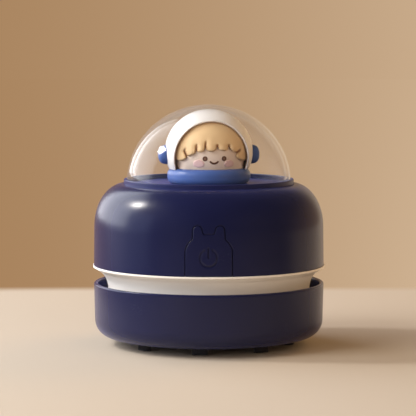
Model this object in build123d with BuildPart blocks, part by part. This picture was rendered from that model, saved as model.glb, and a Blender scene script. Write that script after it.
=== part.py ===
"""Desktop mini vacuum cleaner with a clear dome and an astronaut figure on top.

A powered upper unit stands in a shallow dust cup. A motor spins a fan in the white inner frame, which draws air
up the cup's inlet throat, through the filter, and out of the slots above the cup's collar.

Millimetres. +Z is up, the front (power key) faces -Y, and the origin is on the axis at the bristle tips.
"""

import os
from math import cos, degrees, radians, sin, sqrt, tan

from build123d import *

os.makedirs("parts", exist_ok=True)

# ---------------------------------------------------------------- driving dimensions

# clearances
running_gap = 0.25  # around pieces that slide past each other
seat_gap = 0.1  # around pieces that are fitted once
bearing_gap = 0.05  # around shafts, plungers and screws

# heights, from the bristle tips up
bristle_reach = 3.1  # bristles below the cup
cup_height = 19.8
exhaust_gap = 6.4  # between the cup's rim and the housing
housing_height = 29.7

# housing
body_radius = 42.1  # at the housing's lower edge
housing_wall = 2.0
side_height = 14.2  # straight side below the shoulder
side_draft = 0.2
shoulder_width = 10.9
boss_radius = 3.0
boss_inset = 8.1  # boss centres inside the outer skin
boss_bite = 0.8  # bosses run into the shoulder's inside by this
boss_angles = (60, 180, 300)

# deck and dome
deck_thickness = 1.4
deck_lip_height = 1.7
deck_lip_wall = 0.95
deck_lip_round = 0.3
deck_ledge = 3.0  # ledge under the deck's rim, inside the dome's foot
hook_count = 4
hook_width = 7.0
hook_wall = 1.2
hook_catch = 0.8
hook_nose = 1.2
dome_radius = 30.0
dome_wall = 1.2
dome_headroom = 0.6  # between the helmet and the dome

# astronaut figure
figure_turn = 6.5  # degrees, anticlockwise from above
helmet_radius = 15.9
helmet_wall = 1.3
helmet_rise = 5.4  # helmet's centre above the collar
visor_lap = 0.2  # visor opening beyond the head
visor_drop = 1.5  # visor arch's centre below the helmet's centre
collar_height = 5.8
collar_inset = 0.7  # collar's widest ring inside the helmet's radius
collar_foot_inset = 1.9
collar_lip_inset = 1.1
collar_recess = 1.2  # the neck's seat below the collar's top
hair_thickness = 1.4
hair_gap = 0.3  # between the hair and the helmet
hair_drop = 2.6  # hair's lower edge below the helmet's centre
ear_cup_radius = 3.4
ear_cup_depth = 3.4
ear_cup_sink = 0.55  # flats on the helmet's sides
ear_cup_drop = 0.6  # ear cups' centres below the helmet's
print_thickness = 0.15  # printed eyes, smile and cheeks
eye_radius = 0.9
eye_spread = 3.45
eye_drop = 1.5  # below the helmet's centre
smile_radius = 1.9
smile_line = 0.5
smile_arc = 100  # degrees
cheek_height = 1.7
cheek_width = 2.04
cheek_spread = 5.9
cheek_drop = 3.2

# power key and switch
key_half_width = 8.2
key_side_height = 9.1
key_shoulder_rise = 3.8
key_shoulder_radius = 6.0
key_ear_radius = 1.55
key_ear_spread = 3.95
key_ear_flare = 0.2  # ear's root outside its tip
key_ear_rise = 16.3  # ear centres above the seam
key_valley_rise = 14.75
key_valley_inset = 0.5
key_valley_round = 0.7
key_rim = 1.0  # hidden rim that keeps the key in, its width and its wall
key_travel = 0.8
symbol_rise = 6.5
symbol_radius = 3.05
symbol_line = 0.6
symbol_gap = 2.4
symbol_bar = 3.7
symbol_depth = 0.35
switch_size = 6.0
switch_depth = 3.6
switch_bore = 2.6
plunger_radius = 1.6
plunger_root = 1.6  # plunger inside the switch
boss_lap = 0.4  # key's boss beyond the plunger
board_thickness = 1.2
rail_width = 2.6
rail_depth = 3.6
rail_height = 9.0
rail_gap = 1.15  # rails outside the key's sides
switch_board_rise = 2.5  # above the rails

# inner frame
flange_overhang = 0.3
flange_edge = 0.65
flange_drop = 2.4  # flange's underside, where the skirt begins
skirt_inset = 5.2  # skirt inside the housing
skirt_flare = 2.6  # skirt's top outside its waist
skirt_wall = 1.5
skirt_waist_rise = 3.5  # where the flare starts, above the collar's seat
collar_step = 0.8  # seat on the cup's collar
spigot_wall = 2.3
spigot_height = 3.8
spigot_lap = 1.0  # collar's seat below the fan guard
roof_thickness = 1.5
roof_corner = 0.4
locating_ring_height = 2.5
locating_ring_wall = 1.4
exhaust_slot_count = 13
exhaust_slot_width = 7.0
exhaust_slot_start = 10  # degrees behind the right-hand side
exhaust_slot_height = 2.4

# fan
fan_radius = 27.0
fan_eye_radius = 11.0
fan_plate = 0.9
fan_clearance = 0.9  # above and below the wheel
blade_height = 5.8
blade_wall = 1.0
blade_count = 11
blade_sweep = 38  # degrees from root to tip
blade_bend = 18.0  # radius of a blade's curve
blade_tip_inset = 0.8
hub_radius = 3.6
guard_thickness = 1.4
guard_bar = 1.0
guard_bar_inset = 0.4  # bars thinner than the plate
guard_rings = (3.5, 7.2)
guard_post_radius = 2.2
guard_post_inset = 2.8
guard_post_angles = (0, 120, 240)

# motor
motor_radius = 12.1
motor_length = 21.0
motor_can_wall = 1.0
motor_cap_height = 1.4
motor_plug_height = 1.2
motor_plug_bore = 3.2
motor_boss_radius = 3.0
motor_screw_inset = 4.1
shaft_radius = 1.0
shaft_recess = 0.9  # shaft's end inside the fan's hub
shaft_stand = 0.6  # above the motor's cap
sleeve_wall = 1.1
sleeve_stand = 1.0  # above the seat ring
seat_ring_wall = 1.4
seat_ring_height = 6.0
air_gap = 0.45
magnet_wall = 2.0
magnet_split = 7.0
magnet_lap = 0.5  # magnets beyond the armature, at each end
armature_length = 11.0
armature_rise = 4.5
armature_slot_radius = 2.2
armature_slot_width = 1.4
commutator_radius = 2.6
commutator_height = 3.0
terminal_spread = 6.5
terminal_width = 2.4
terminal_thickness = 0.5
terminal_height = 2.2

# dust cup, filter, seal and brush
cup_wall = 1.5
cup_floor = 1.6
cup_draft = 0.5
cup_corner = 6.2
rim_round = 0.6
collar_wall = 1.2
throat_radius = 8.0
throat_wall = 1.2
throat_height = 3.4  # above the cup's floor
mouth_flare = 3.0
mouth_depth = 1.1
nozzle_lip = 3.0
plate_shelf = 1.4  # between the cup's rounded corner and its bottom plate
plate_lap = 1.2
floor_lap = 0.8  # depth of the stepped joints in the floor
filter_height = 3.4
filter_rim = 1.6
filter_rib = 1.2
filter_grip_radius = 4.0
filter_mat_height = 1.8
seal_section = 0.75
tuft_count = 8
tuft_inset = 12.3  # tufts inside the cup's rim
tuft_length = 5.6
tuft_width = 2.8
tuft_socket = 1.0
tuft_turn = -6.0  # degrees, of the front tuft from straight ahead

# battery, an AA-size lithium cell
cell_radius = 7.1
cell_end_room = 2.7  # between the cell's ends and the housing
cell_round = 0.6
cell_gap = 0.2  # between the cell and the motor's seat ring
saddle_wall = 1.2
saddle_thickness = 2.0
tape_thickness = 0.6
tape_width = 6.0
tab_thickness = 0.3
tab_width = 4.0
tab_height = 9.0

# charging board, socket and lamp
board_width = 21.0
board_length = 16.5
board_round = 0.8
board_post_radius = 2.2
board_post_spread = 8.0
board_post_inset = 13.5  # from the board's back edge
board_pilot_floor = 0.6
socket_width = 8.9
socket_height = 3.2
socket_length = 7.3
socket_wall = 0.3
socket_back = 1.0
socket_rise = 4.9  # socket's underside above the frame's roof
socket_setback = 0.3  # socket's mouth inside the housing's wall
socket_overhang = 1.5  # beyond the board's edge
port_margin = 0.5
tongue_width = 6.7
tongue_thickness = 0.7
tongue_length = 4.4
lamp_radius = 0.9
lamp_offset = 8.2
lamp_root = 1.2  # lamp's inner end, from the board's edge
lamp_foot = 2.0
chip_height = 1.5

# leads
lead_radius = 0.55
lead_lane = 1.5  # between the two switch leads

# screws: head radius, head height, shank radius
frame_screw = (2.3, 1.4, 1.15)
guard_screw = (1.9, 0.9, 1.0)
motor_screw = (1.9, 0.9, 1.0)
board_screw = (1.6, 1.0, 0.8)
frame_screw_bite = 10.0
guard_screw_bite = 4.6
motor_screw_bite = 1.0
board_screw_bite = 2.6
pilot_spare = 1.5  # pilot holes deeper than their screws

# ---------------------------------------------------------------- levels and shared radii

cup_base_z = bristle_reach
cup_floor_z = cup_base_z + cup_floor
floor_lap_z = cup_base_z + floor_lap
cup_rim_z = cup_base_z + cup_height
seam_z = cup_rim_z + exhaust_gap
roof_z = seam_z - roof_thickness
shoulder_z = seam_z + side_height
housing_top_z = seam_z + housing_height
deck_seat_z = housing_top_z - deck_thickness
ledge_z = deck_seat_z - housing_wall
collar_top_z = housing_top_z + collar_height
neck_z = collar_top_z - collar_recess
figure_z = collar_top_z + helmet_rise
dome_height = figure_z + helmet_radius + dome_headroom + dome_wall - housing_top_z

fan_top_z = roof_z - fan_clearance
blade_base_z = fan_top_z - fan_plate - blade_height
guard_top_z = blade_base_z - fan_clearance
guard_base_z = guard_top_z - guard_thickness
slot_base_z = guard_top_z + seat_gap
filter_top_z = guard_base_z - running_gap
filter_base_z = filter_top_z - filter_height
collar_seat_z = guard_base_z - spigot_lap
spigot_base_z = collar_seat_z - spigot_height
seal_z = collar_seat_z - spigot_height / 2
waist_z = collar_seat_z + skirt_waist_rise
flare_top_z = seam_z - flange_drop

shoulder_centre = body_radius - side_draft - shoulder_width
shoulder_rise = housing_height - side_height
inner_wall_radius = body_radius - housing_wall
boss_circle = body_radius - boss_inset
boss_edge = (boss_circle + boss_radius - shoulder_centre) / (shoulder_width - housing_wall)
boss_top_z = shoulder_z + (shoulder_rise - housing_wall) * sqrt(1 - boss_edge**2) + boss_bite
skirt_radius = body_radius - skirt_inset
skirt_top_radius = skirt_radius + skirt_flare
chamber_radius = skirt_radius - skirt_wall
spigot_radius = skirt_radius - collar_step
spigot_inner = spigot_radius - spigot_wall
cup_collar_inner = spigot_radius + running_gap
guard_post_circle = spigot_inner - guard_post_inset
tuft_circle = body_radius - tuft_inset
deck_radius = dome_radius + seat_gap + deck_lip_wall
deck_opening_radius = dome_radius - deck_ledge

helmet_inner = helmet_radius - helmet_wall
head_radius = helmet_inner - hair_gap - hair_thickness
visor_radius = head_radius + visor_lap
collar_radius = helmet_radius - collar_inset
ear_seat_x = helmet_radius - ear_cup_sink

motor_top_z = seam_z + motor_length
motor_cap_z = motor_top_z + motor_cap_height
motor_bore = motor_radius - motor_can_wall
motor_screw_circle = motor_radius - motor_screw_inset
seat_ring_inner = motor_radius + sleeve_wall
seat_ring_outer = seat_ring_inner + seat_ring_wall
magnet_outer = motor_bore - bearing_gap
magnet_inner = magnet_outer - magnet_wall
armature_radius = magnet_inner - air_gap
armature_z = seam_z + armature_rise
terminal_top_z = motor_cap_z + terminal_height
cell_offset = seat_ring_outer + cell_gap + cell_radius
cell_z = seam_z + tape_thickness + cell_radius
cell_half_length = sqrt(inner_wall_radius**2 - (cell_offset + cell_radius) ** 2) - cell_end_room

symbol_z = seam_z + symbol_rise
key_back_y = inner_wall_radius - side_draft - running_gap - key_rim
switch_face_y = key_back_y - key_travel - seat_gap
switch_board_y = switch_face_y - switch_depth
rail_x = key_half_width + rail_gap
switch_board_top_z = seam_z + rail_height + switch_board_rise

pad_z = seam_z + socket_rise
charge_board_z = pad_z - board_thickness
port_z = pad_z + socket_height / 2
socket_mouth_y = sqrt(inner_wall_radius**2 - (socket_width / 2) ** 2) - socket_setback
board_back_y = socket_mouth_y - socket_overhang
board_post_y = board_back_y - board_post_inset
lamp_tip_y = sqrt(body_radius**2 - lamp_offset**2) - seat_gap


# ---------------------------------------------------------------- shared shapes


def polar(radius, angle):
    """A point on a circle about the axis."""
    return (radius * cos(radians(angle)), radius * sin(radians(angle)))


def ring_points(radius, angles):
    """Points on a circle about the axis, one at each angle."""
    return [polar(radius, angle) for angle in angles]


def quarter_ellipse(half_width, base, rise):
    """An ellipse's quarter from its side to its top on the axis, as a curve that ends exactly on the axis."""
    pull = 0.5523  # of each half axis
    return Bezier(
        (half_width, base),
        (half_width, base + rise * pull),
        (half_width * pull, base + rise),
        (0, base + rise),
    )


def skin_band(inner, outer=0.0):
    """The housing's side and shoulder between two insets from its outer skin, as a face to turn about the axis."""
    with BuildSketch(Plane.XZ) as band:
        with BuildLine():
            for inset in (inner, outer):
                Line(
                    (body_radius - inset, seam_z),
                    (body_radius - side_draft - inset, shoulder_z),
                )
                EllipticalCenterArc(
                    (shoulder_centre, shoulder_z),
                    shoulder_width - inset,
                    shoulder_rise - inset,
                    arc_size=90,
                )
            Line((body_radius - inner, seam_z), (body_radius - outer, seam_z))
            Line(
                (shoulder_centre, housing_top_z - inner),
                (shoulder_centre, housing_top_z - outer),
            )
        make_face()
    return band.sketch


def key_outline(grow=0.0):
    """The eared outline of the power key, grown by grow, on the plane that faces the front."""
    ear_side = key_ear_spread + key_ear_radius
    ear_inside = key_ear_spread - key_ear_radius
    ear_z = seam_z + key_ear_rise
    valley_z = seam_z + key_valley_rise
    with BuildSketch(Plane.XZ) as outline:
        with BuildLine():
            foot = Line((0, seam_z + seat_gap), (key_half_width, seam_z + seat_gap))
            side = Line(foot @ 1, (key_half_width, seam_z + key_side_height))
            ear_root = (
                ear_side + key_ear_flare,
                seam_z + key_side_height + key_shoulder_rise,
            )
            shoulder = RadiusArc(side @ 1, ear_root, -key_shoulder_radius)
            rise = Line(shoulder @ 1, (ear_side, ear_z))
            ear = ThreePointArc(
                rise @ 1, (key_ear_spread, ear_z + key_ear_radius), (ear_inside, ear_z)
            )
            drop = Line(ear @ 1, (ear_inside - key_valley_inset, valley_z))
            Line(drop @ 1, (0, valley_z))
            mirror(about=Plane.YZ)
        make_face()
        if grow:
            offset(amount=grow)
        # the valley's inside corners lose their rounding as the outline grows
        if grow < key_valley_round:
            for side in (-1, 1):
                corner = (side * (ear_inside - key_valley_inset), valley_z + grow)
                fillet(
                    outline.vertices().sort_by_distance(corner)[0],
                    radius=key_valley_round - grow,
                )
    return outline.sketch


def screw(size, length, sunk=False):
    """A cross-head screw with its head's seat at the origin and its shank pointing up.

    A sunk head is a cone whose flat face is at the origin.
    """
    head_radius, head_height, shank_radius = size
    if sunk:
        head_z = 0
        head = [(0, 0), (head_radius, 0)]
        shank_z = head_height
    else:
        head_z = -head_height
        head = [(0, head_z), (head_radius, head_z), (head_radius, 0)]
        shank_z = 0
    shank = [
        (shank_radius, shank_z),
        (shank_radius, length - shank_radius),
        (shank_radius / 2, length),
        (0, length),
    ]
    with BuildPart() as one:
        with BuildSketch(Plane.XZ):
            with BuildLine():
                Polyline(*head, *shank, close=True)
            make_face()
        revolve(axis=Axis.Z)
        with BuildSketch(Plane.XY.offset(head_z)):
            for turn in (0, 90):
                Rectangle(1.1 * head_radius, 0.28 * head_radius, rotation=turn)
        extrude(amount=head_height / 2, mode=Mode.SUBTRACT)
    return one.part


def sunk_hole(size, points, z, depth):
    """Countersunk clearance holes for screws that go in from below, cut into the current part."""
    head_radius, _, shank_radius = size
    with Locations(*[Location((x, y, z), (180, 0, 0)) for x, y in points]):
        CounterSinkHole(
            radius=shank_radius + bearing_gap,
            counter_sink_radius=head_radius + bearing_gap,
            depth=depth,
            counter_sink_angle=90,
        )


def round_hole(radius, points, z, depth):
    """Plain round holes from a level upwards, cut into the current part."""
    with BuildSketch(Plane.XY.offset(z)) as holes:
        with Locations(*points):
            Circle(radius)
    extrude(holes.sketch, amount=depth, mode=Mode.SUBTRACT)


def lead(*route):
    """A round lead along a route, with each bend as wide as its two runs allow."""
    points = [Vector(*p) for p in route]
    radii = []
    for before, at, after in zip(points, points[1:], points[2:]):
        turn = radians((at - before).get_angle(after - at))
        shorter = min((at - before).length, (after - at).length)
        radii.append(0.45 * shorter / tan(turn / 2))
    with BuildPart() as wire:
        with BuildLine() as path:
            FilletPolyline(*points, radius=radii)
        with BuildSketch(Plane(path.line @ 0, z_dir=path.line % 0)):
            Circle(lead_radius)
        sweep()
    return wire.part


def save(piece, name):
    """Labels a finished piece and writes its STEP file."""
    piece.label = name
    export_step(piece, f"parts/{name}.step")


# ---------------------------------------------------------------- dust cup and brush

base_radius = body_radius - cup_draft
plate_radius = base_radius - cup_corner - plate_shelf
plate_top_radius = plate_radius - plate_lap
nozzle_radius = throat_radius + throat_wall
nozzle_lip_radius = nozzle_radius + nozzle_lip

with BuildPart() as dust_cup:
    with BuildSketch(Plane.XZ) as cup_profile:
        with BuildLine():
            Polyline(
                (plate_radius + seat_gap, cup_base_z),
                (base_radius, cup_base_z),
                (body_radius, cup_rim_z),
                (body_radius - cup_wall, cup_rim_z),
                (base_radius - cup_wall, cup_floor_z),
                (plate_top_radius + seat_gap, cup_floor_z),
                (plate_top_radius + seat_gap, floor_lap_z),
                (plate_radius + seat_gap, floor_lap_z),
                close=True,
            )
        make_face()
        for corner, corner_radius in (
            ((base_radius, cup_base_z), cup_corner),
            ((base_radius - cup_wall, cup_floor_z), cup_corner - cup_wall),
        ):
            fillet(
                cup_profile.vertices().sort_by_distance(corner)[0], radius=corner_radius
            )
        fillet(cup_profile.vertices().group_by(Axis.Y)[-1], radius=rim_round)
    revolve(axis=Axis.Z)
    # collar that the upper unit's spigot seals in
    with BuildSketch(Plane.XY.offset(cup_floor_z)):
        Circle(cup_collar_inner + collar_wall)
        Circle(cup_collar_inner, mode=Mode.SUBTRACT)
    extrude(amount=collar_seat_z - cup_floor_z)
save(dust_cup.part, "dust_cup")

with BuildPart() as bottom_plate:
    with BuildSketch(Plane.XZ):
        with BuildLine():
            Polyline(
                (nozzle_lip_radius + seat_gap, cup_base_z),
                (plate_radius, cup_base_z),
                (plate_radius, floor_lap_z),
                (plate_top_radius, floor_lap_z),
                (plate_top_radius, cup_floor_z),
                (nozzle_radius + seat_gap, cup_floor_z),
                (nozzle_radius + seat_gap, floor_lap_z),
                (nozzle_lip_radius + seat_gap, floor_lap_z),
                close=True,
            )
        make_face()
    revolve(axis=Axis.Z)
    # blind sockets for the tufts
    with BuildSketch(Plane.XY.offset(cup_base_z)):
        with PolarLocations(tuft_circle, tuft_count, start_angle=-90 + tuft_turn):
            SlotOverall(tuft_length, tuft_width, rotation=90)
    extrude(amount=tuft_socket, mode=Mode.SUBTRACT)
save(bottom_plate.part, "bottom_plate")

# tube that the air and the crumbs rise through, pushed up into the plate
with BuildPart() as inlet_nozzle:
    with BuildSketch(Plane.XZ):
        with BuildLine():
            Polyline(
                (throat_radius + mouth_flare, cup_base_z),
                (nozzle_lip_radius, cup_base_z),
                (nozzle_lip_radius, floor_lap_z),
                (nozzle_radius, floor_lap_z),
                (nozzle_radius, cup_floor_z + throat_height),
                (throat_radius, cup_floor_z + throat_height),
                (throat_radius, cup_base_z + mouth_depth),
                close=True,
            )
        make_face()
    revolve(axis=Axis.Z)
save(inlet_nozzle.part, "inlet_nozzle")

with BuildPart() as brush_tufts:
    with BuildSketch():
        with PolarLocations(tuft_circle, tuft_count, start_angle=-90 + tuft_turn):
            SlotOverall(tuft_length, tuft_width, rotation=90)
    extrude(amount=bristle_reach + tuft_socket)
save(brush_tufts.part, "brush_tufts")

# ---------------------------------------------------------------- white inner frame

flange_radius = body_radius + flange_overhang
roof_inner = skirt_top_radius - skirt_wall - roof_corner
locating_outer = inner_wall_radius - running_gap
shaft_hole = motor_boss_radius + seat_gap
motor_screw_points = [(-motor_screw_circle, 0), (motor_screw_circle, 0)]
board_post_points = [
    (-board_post_spread, board_post_y),
    (board_post_spread, board_post_y),
]
guard_post_points = ring_points(guard_post_circle, guard_post_angles)
boss_points = ring_points(boss_circle, boss_angles)

with BuildPart() as inner_frame:
    with BuildSketch(Plane.XZ):
        with BuildLine():
            Polyline(
                (shaft_hole, seam_z),
                (flange_radius, seam_z),
                (flange_radius, seam_z - flange_edge),
                (skirt_top_radius, flare_top_z),
            )
            Bezier(
                (skirt_top_radius, flare_top_z),
                (skirt_top_radius - skirt_flare / 2, flare_top_z - skirt_flare / 2),
                (skirt_radius, (waist_z + flare_top_z) / 2),
                (skirt_radius, waist_z),
            )
            Polyline(
                (skirt_radius, waist_z),
                (skirt_radius, collar_seat_z),
                (spigot_radius, collar_seat_z),
                (spigot_radius, spigot_base_z),
                (spigot_inner, spigot_base_z),
                (spigot_inner, guard_top_z),
                (chamber_radius, slot_base_z),
                (chamber_radius, waist_z),
                (roof_inner, roof_z),
                (shaft_hole, roof_z),
                (shaft_hole, seam_z),
            )
        make_face()
    revolve(axis=Axis.Z)
    # ring that centres the housing, and ring that holds the motor's sleeve
    with BuildSketch(Plane.XY.offset(seam_z)):
        Circle(locating_outer)
        Circle(locating_outer - locating_ring_wall, mode=Mode.SUBTRACT)
    extrude(amount=locating_ring_height)
    with BuildSketch(Plane.XY.offset(seam_z)):
        Circle(seat_ring_outer)
        Circle(seat_ring_inner, mode=Mode.SUBTRACT)
    extrude(amount=seat_ring_height)
    # room for the power key in the locating ring
    with BuildSketch(Plane.XZ.offset(switch_board_y)):
        with Locations((0, seam_z + locating_ring_height / 2)):
            Rectangle(2 * rail_x + rail_width, locating_ring_height)
    extrude(amount=body_radius - switch_board_y, mode=Mode.SUBTRACT)
    # posts for the fan guard, from the roof down
    with BuildSketch(Plane.XY.offset(guard_top_z)):
        with Locations(*guard_post_points):
            Circle(guard_post_radius)
    extrude(amount=roof_z - guard_top_z)
    round_hole(
        guard_screw[2] + bearing_gap,
        guard_post_points,
        guard_top_z,
        guard_screw_bite + pilot_spare,
    )
    # exhaust slots above the cup's collar, round the back half
    with BuildSketch(Plane.XY.offset(slot_base_z)):
        with PolarLocations(
            skirt_radius - skirt_wall / 2,
            exhaust_slot_count,
            start_angle=exhaust_slot_start,
            angular_range=180 - 2 * exhaust_slot_start,
            endpoint=True,
        ):
            Rectangle(3 * skirt_wall, exhaust_slot_width)
    extrude(amount=exhaust_slot_height, mode=Mode.SUBTRACT)
    # groove for the seal
    seal_groove_depth = 2 * seal_section - running_gap + seat_gap
    with BuildSketch(Plane.XZ):
        with Locations((spigot_radius, seal_z)):
            Rectangle(2 * seal_groove_depth, 2 * (seal_section + seat_gap))
    revolve(axis=Axis.Z, mode=Mode.SUBTRACT)
    # screw holes through the roof
    round_hole(frame_screw[2] + bearing_gap, boss_points, roof_z, roof_thickness)
    sunk_hole(motor_screw, motor_screw_points, roof_z, roof_thickness)
    # saddles for the battery, notched for its tape
    for saddle_y in (-cell_half_length / 1.5, cell_half_length / 1.5):
        with BuildSketch(Plane.XZ.offset(-saddle_y)):
            with Locations((-cell_offset, (seam_z + cell_z) / 2)):
                Rectangle(2 * (cell_radius + saddle_wall), cell_z - seam_z)
            with Locations((-cell_offset, cell_z)):
                Circle(cell_radius + seat_gap, mode=Mode.SUBTRACT)
            with Locations((-cell_offset, seam_z + tape_thickness / 2)):
                Rectangle(
                    tape_width + 2 * running_gap, tape_thickness, mode=Mode.SUBTRACT
                )
        extrude(amount=saddle_thickness / 2, both=True)
    # posts for the charging board
    with BuildSketch(Plane.XY.offset(seam_z)):
        with Locations(*board_post_points):
            Circle(board_post_radius)
    extrude(amount=charge_board_z - seam_z)
    round_hole(
        board_screw[2] + bearing_gap,
        board_post_points,
        seam_z + board_pilot_floor,
        charge_board_z - seam_z,
    )
    # grooved rails for the switch's board
    rail_y = board_thickness / 2 - switch_board_y
    with BuildSketch(Plane.XY.offset(seam_z)):
        with Locations((-rail_x, rail_y), (rail_x, rail_y)):
            Rectangle(rail_width, rail_depth)
        with Locations((0, rail_y)):
            Rectangle(
                2 * rail_x + seat_gap, board_thickness + seat_gap, mode=Mode.SUBTRACT
            )
    extrude(amount=rail_height)
save(inner_frame.part, "inner_frame")

with BuildPart() as cup_seal:
    with Locations((0, 0, seal_z)):
        Torus(cup_collar_inner - seal_section - bearing_gap, seal_section)
save(cup_seal.part, "cup_seal")

# ---------------------------------------------------------------- filter and fan guard

filter_radius = spigot_inner - seat_gap
mat_hole = filter_radius - filter_rim

with BuildPart() as filter_frame:
    with BuildSketch(Plane.XY.offset(filter_base_z)):
        Circle(filter_radius)
        Circle(mat_hole, mode=Mode.SUBTRACT)
    extrude(amount=filter_height)
    # ribs across the underside, with a grip in the middle
    with BuildSketch(Plane.XY.offset(filter_base_z)):
        for turn in (0, 60, 120):
            Rectangle(2 * mat_hole + filter_rim, filter_rib, rotation=turn)
        Circle(filter_grip_radius)
    extrude(amount=filter_height - filter_mat_height - seat_gap)
save(filter_frame.part, "filter_frame")

with BuildPart() as filter_mat:
    with BuildSketch(Plane.XY.offset(filter_top_z - filter_mat_height)):
        Circle(mat_hole - bearing_gap)
    extrude(amount=filter_mat_height)
save(filter_mat.part, "filter_mat")

with BuildPart() as fan_guard:
    with BuildSketch(Plane.XY.offset(guard_base_z)):
        Circle(spigot_inner - seat_gap)
        Circle(fan_eye_radius, mode=Mode.SUBTRACT)
    extrude(amount=guard_thickness)
    # finger bars over the fan's eye
    with BuildSketch(Plane.XY.offset(guard_base_z)):
        for turn in (0, 60, 120):
            Rectangle(2 * fan_eye_radius + guard_bar, guard_bar, rotation=turn)
        for ring_radius in guard_rings:
            Circle(ring_radius + guard_bar / 2)
            Circle(ring_radius - guard_bar / 2, mode=Mode.SUBTRACT)
    extrude(amount=guard_thickness - guard_bar_inset)
    sunk_hole(guard_screw, guard_post_points, guard_base_z, guard_thickness)
save(fan_guard.part, "fan_guard")

with BuildPart() as guard_screws:
    with Locations(*[(x, y, guard_base_z) for x, y in guard_post_points]):
        add(screw(guard_screw, guard_thickness + guard_screw_bite, sunk=True))
save(guard_screws.part, "guard_screws")

# ---------------------------------------------------------------- fan wheel and motor

with BuildPart() as fan_wheel:
    with BuildSketch(Plane.XY.offset(fan_top_z - fan_plate)):
        Circle(fan_radius)
    extrude(amount=fan_plate)
    with BuildSketch(Plane.XY.offset(blade_base_z)):
        Circle(hub_radius)
        with BuildLine() as blade_line:
            RadiusArc(
                (fan_eye_radius, 0),
                polar(fan_radius - blade_tip_inset, blade_sweep),
                blade_bend,
            )
        with PolarLocations(0, blade_count):
            trace(blade_line.line, line_width=blade_wall)
    extrude(amount=blade_height)
    with BuildSketch(Plane.XY.offset(blade_base_z)):
        Circle(shaft_radius)
    extrude(amount=blade_height + fan_plate, mode=Mode.SUBTRACT)
save(fan_wheel.part, "fan_wheel")

shaft_base_z = blade_base_z + shaft_recess
with BuildPart() as motor_shaft:
    with BuildSketch(Plane.XY.offset(shaft_base_z)):
        Circle(shaft_radius)
    extrude(amount=motor_cap_z + shaft_stand - shaft_base_z)
save(motor_shaft.part, "motor_shaft")

with BuildPart() as motor_armature:
    with BuildSketch(Plane.XY.offset(armature_z)):
        Circle(armature_radius)
        # winding slots, each opening to the rim through a neck
        with PolarLocations(armature_radius - armature_slot_radius, 3):
            Rectangle(
                2 * armature_slot_radius + seat_gap,
                armature_slot_width,
                mode=Mode.SUBTRACT,
            )
            Circle(armature_slot_radius, mode=Mode.SUBTRACT)
        Circle(shaft_radius, mode=Mode.SUBTRACT)
    extrude(amount=armature_length)
    with BuildSketch(Plane.XY.offset(armature_z + armature_length)):
        Circle(commutator_radius)
        Circle(shaft_radius, mode=Mode.SUBTRACT)
    extrude(amount=commutator_height)
save(motor_armature.part, "motor_armature")

with BuildPart() as motor_can:
    with BuildSketch(Plane.XY.offset(seam_z)):
        Circle(motor_radius)
    extrude(amount=motor_length)
    with BuildSketch(Plane.XY.offset(seam_z + motor_can_wall)):
        Circle(motor_bore)
    extrude(amount=motor_length - motor_can_wall, mode=Mode.SUBTRACT)
    with BuildSketch(Plane.XY.offset(roof_z)):
        Circle(motor_boss_radius)
    extrude(amount=roof_thickness)
    case_floor = roof_thickness + motor_can_wall
    round_hole(shaft_radius + bearing_gap, [(0, 0)], roof_z, case_floor)
    round_hole(motor_screw[2] + bearing_gap, motor_screw_points, roof_z, case_floor)
save(motor_can.part, "motor_can")

with BuildPart() as motor_magnets:
    with BuildSketch(Plane.XY.offset(armature_z - magnet_lap)):
        Circle(magnet_outer)
        Circle(magnet_inner, mode=Mode.SUBTRACT)
        Rectangle(magnet_split, 2 * motor_radius, mode=Mode.SUBTRACT)
    extrude(amount=armature_length + 2 * magnet_lap)
save(motor_magnets.part, "motor_magnets")

with BuildPart() as motor_cap:
    with BuildSketch(Plane.XY.offset(motor_top_z)):
        Circle(motor_radius)
        Circle(shaft_radius + bearing_gap, mode=Mode.SUBTRACT)
    extrude(amount=motor_cap_height)
    with BuildSketch(Plane.XY.offset(motor_top_z - motor_plug_height)):
        Circle(motor_bore - bearing_gap)
        Circle(motor_plug_bore, mode=Mode.SUBTRACT)
    extrude(amount=motor_plug_height)
save(motor_cap.part, "motor_cap")

with BuildPart() as motor_terminals:
    with BuildSketch(Plane.XY.offset(motor_cap_z)):
        with Locations((-terminal_spread, 0), (terminal_spread, 0)):
            Rectangle(terminal_thickness, terminal_width)
    extrude(amount=terminal_height)
save(motor_terminals.part, "motor_terminals")

with BuildPart() as motor_sleeve:
    with BuildSketch(Plane.XY.offset(seam_z)):
        Circle(seat_ring_inner - bearing_gap)
        Circle(motor_radius + bearing_gap, mode=Mode.SUBTRACT)
    extrude(amount=seat_ring_height + sleeve_stand)
save(motor_sleeve.part, "motor_sleeve")

with BuildPart() as motor_screws:
    with Locations(*[(x, y, roof_z) for x, y in motor_screw_points]):
        add(screw(motor_screw, case_floor + motor_screw_bite, sunk=True))
save(motor_screws.part, "motor_screws")

# ---------------------------------------------------------------- upper housing

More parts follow.
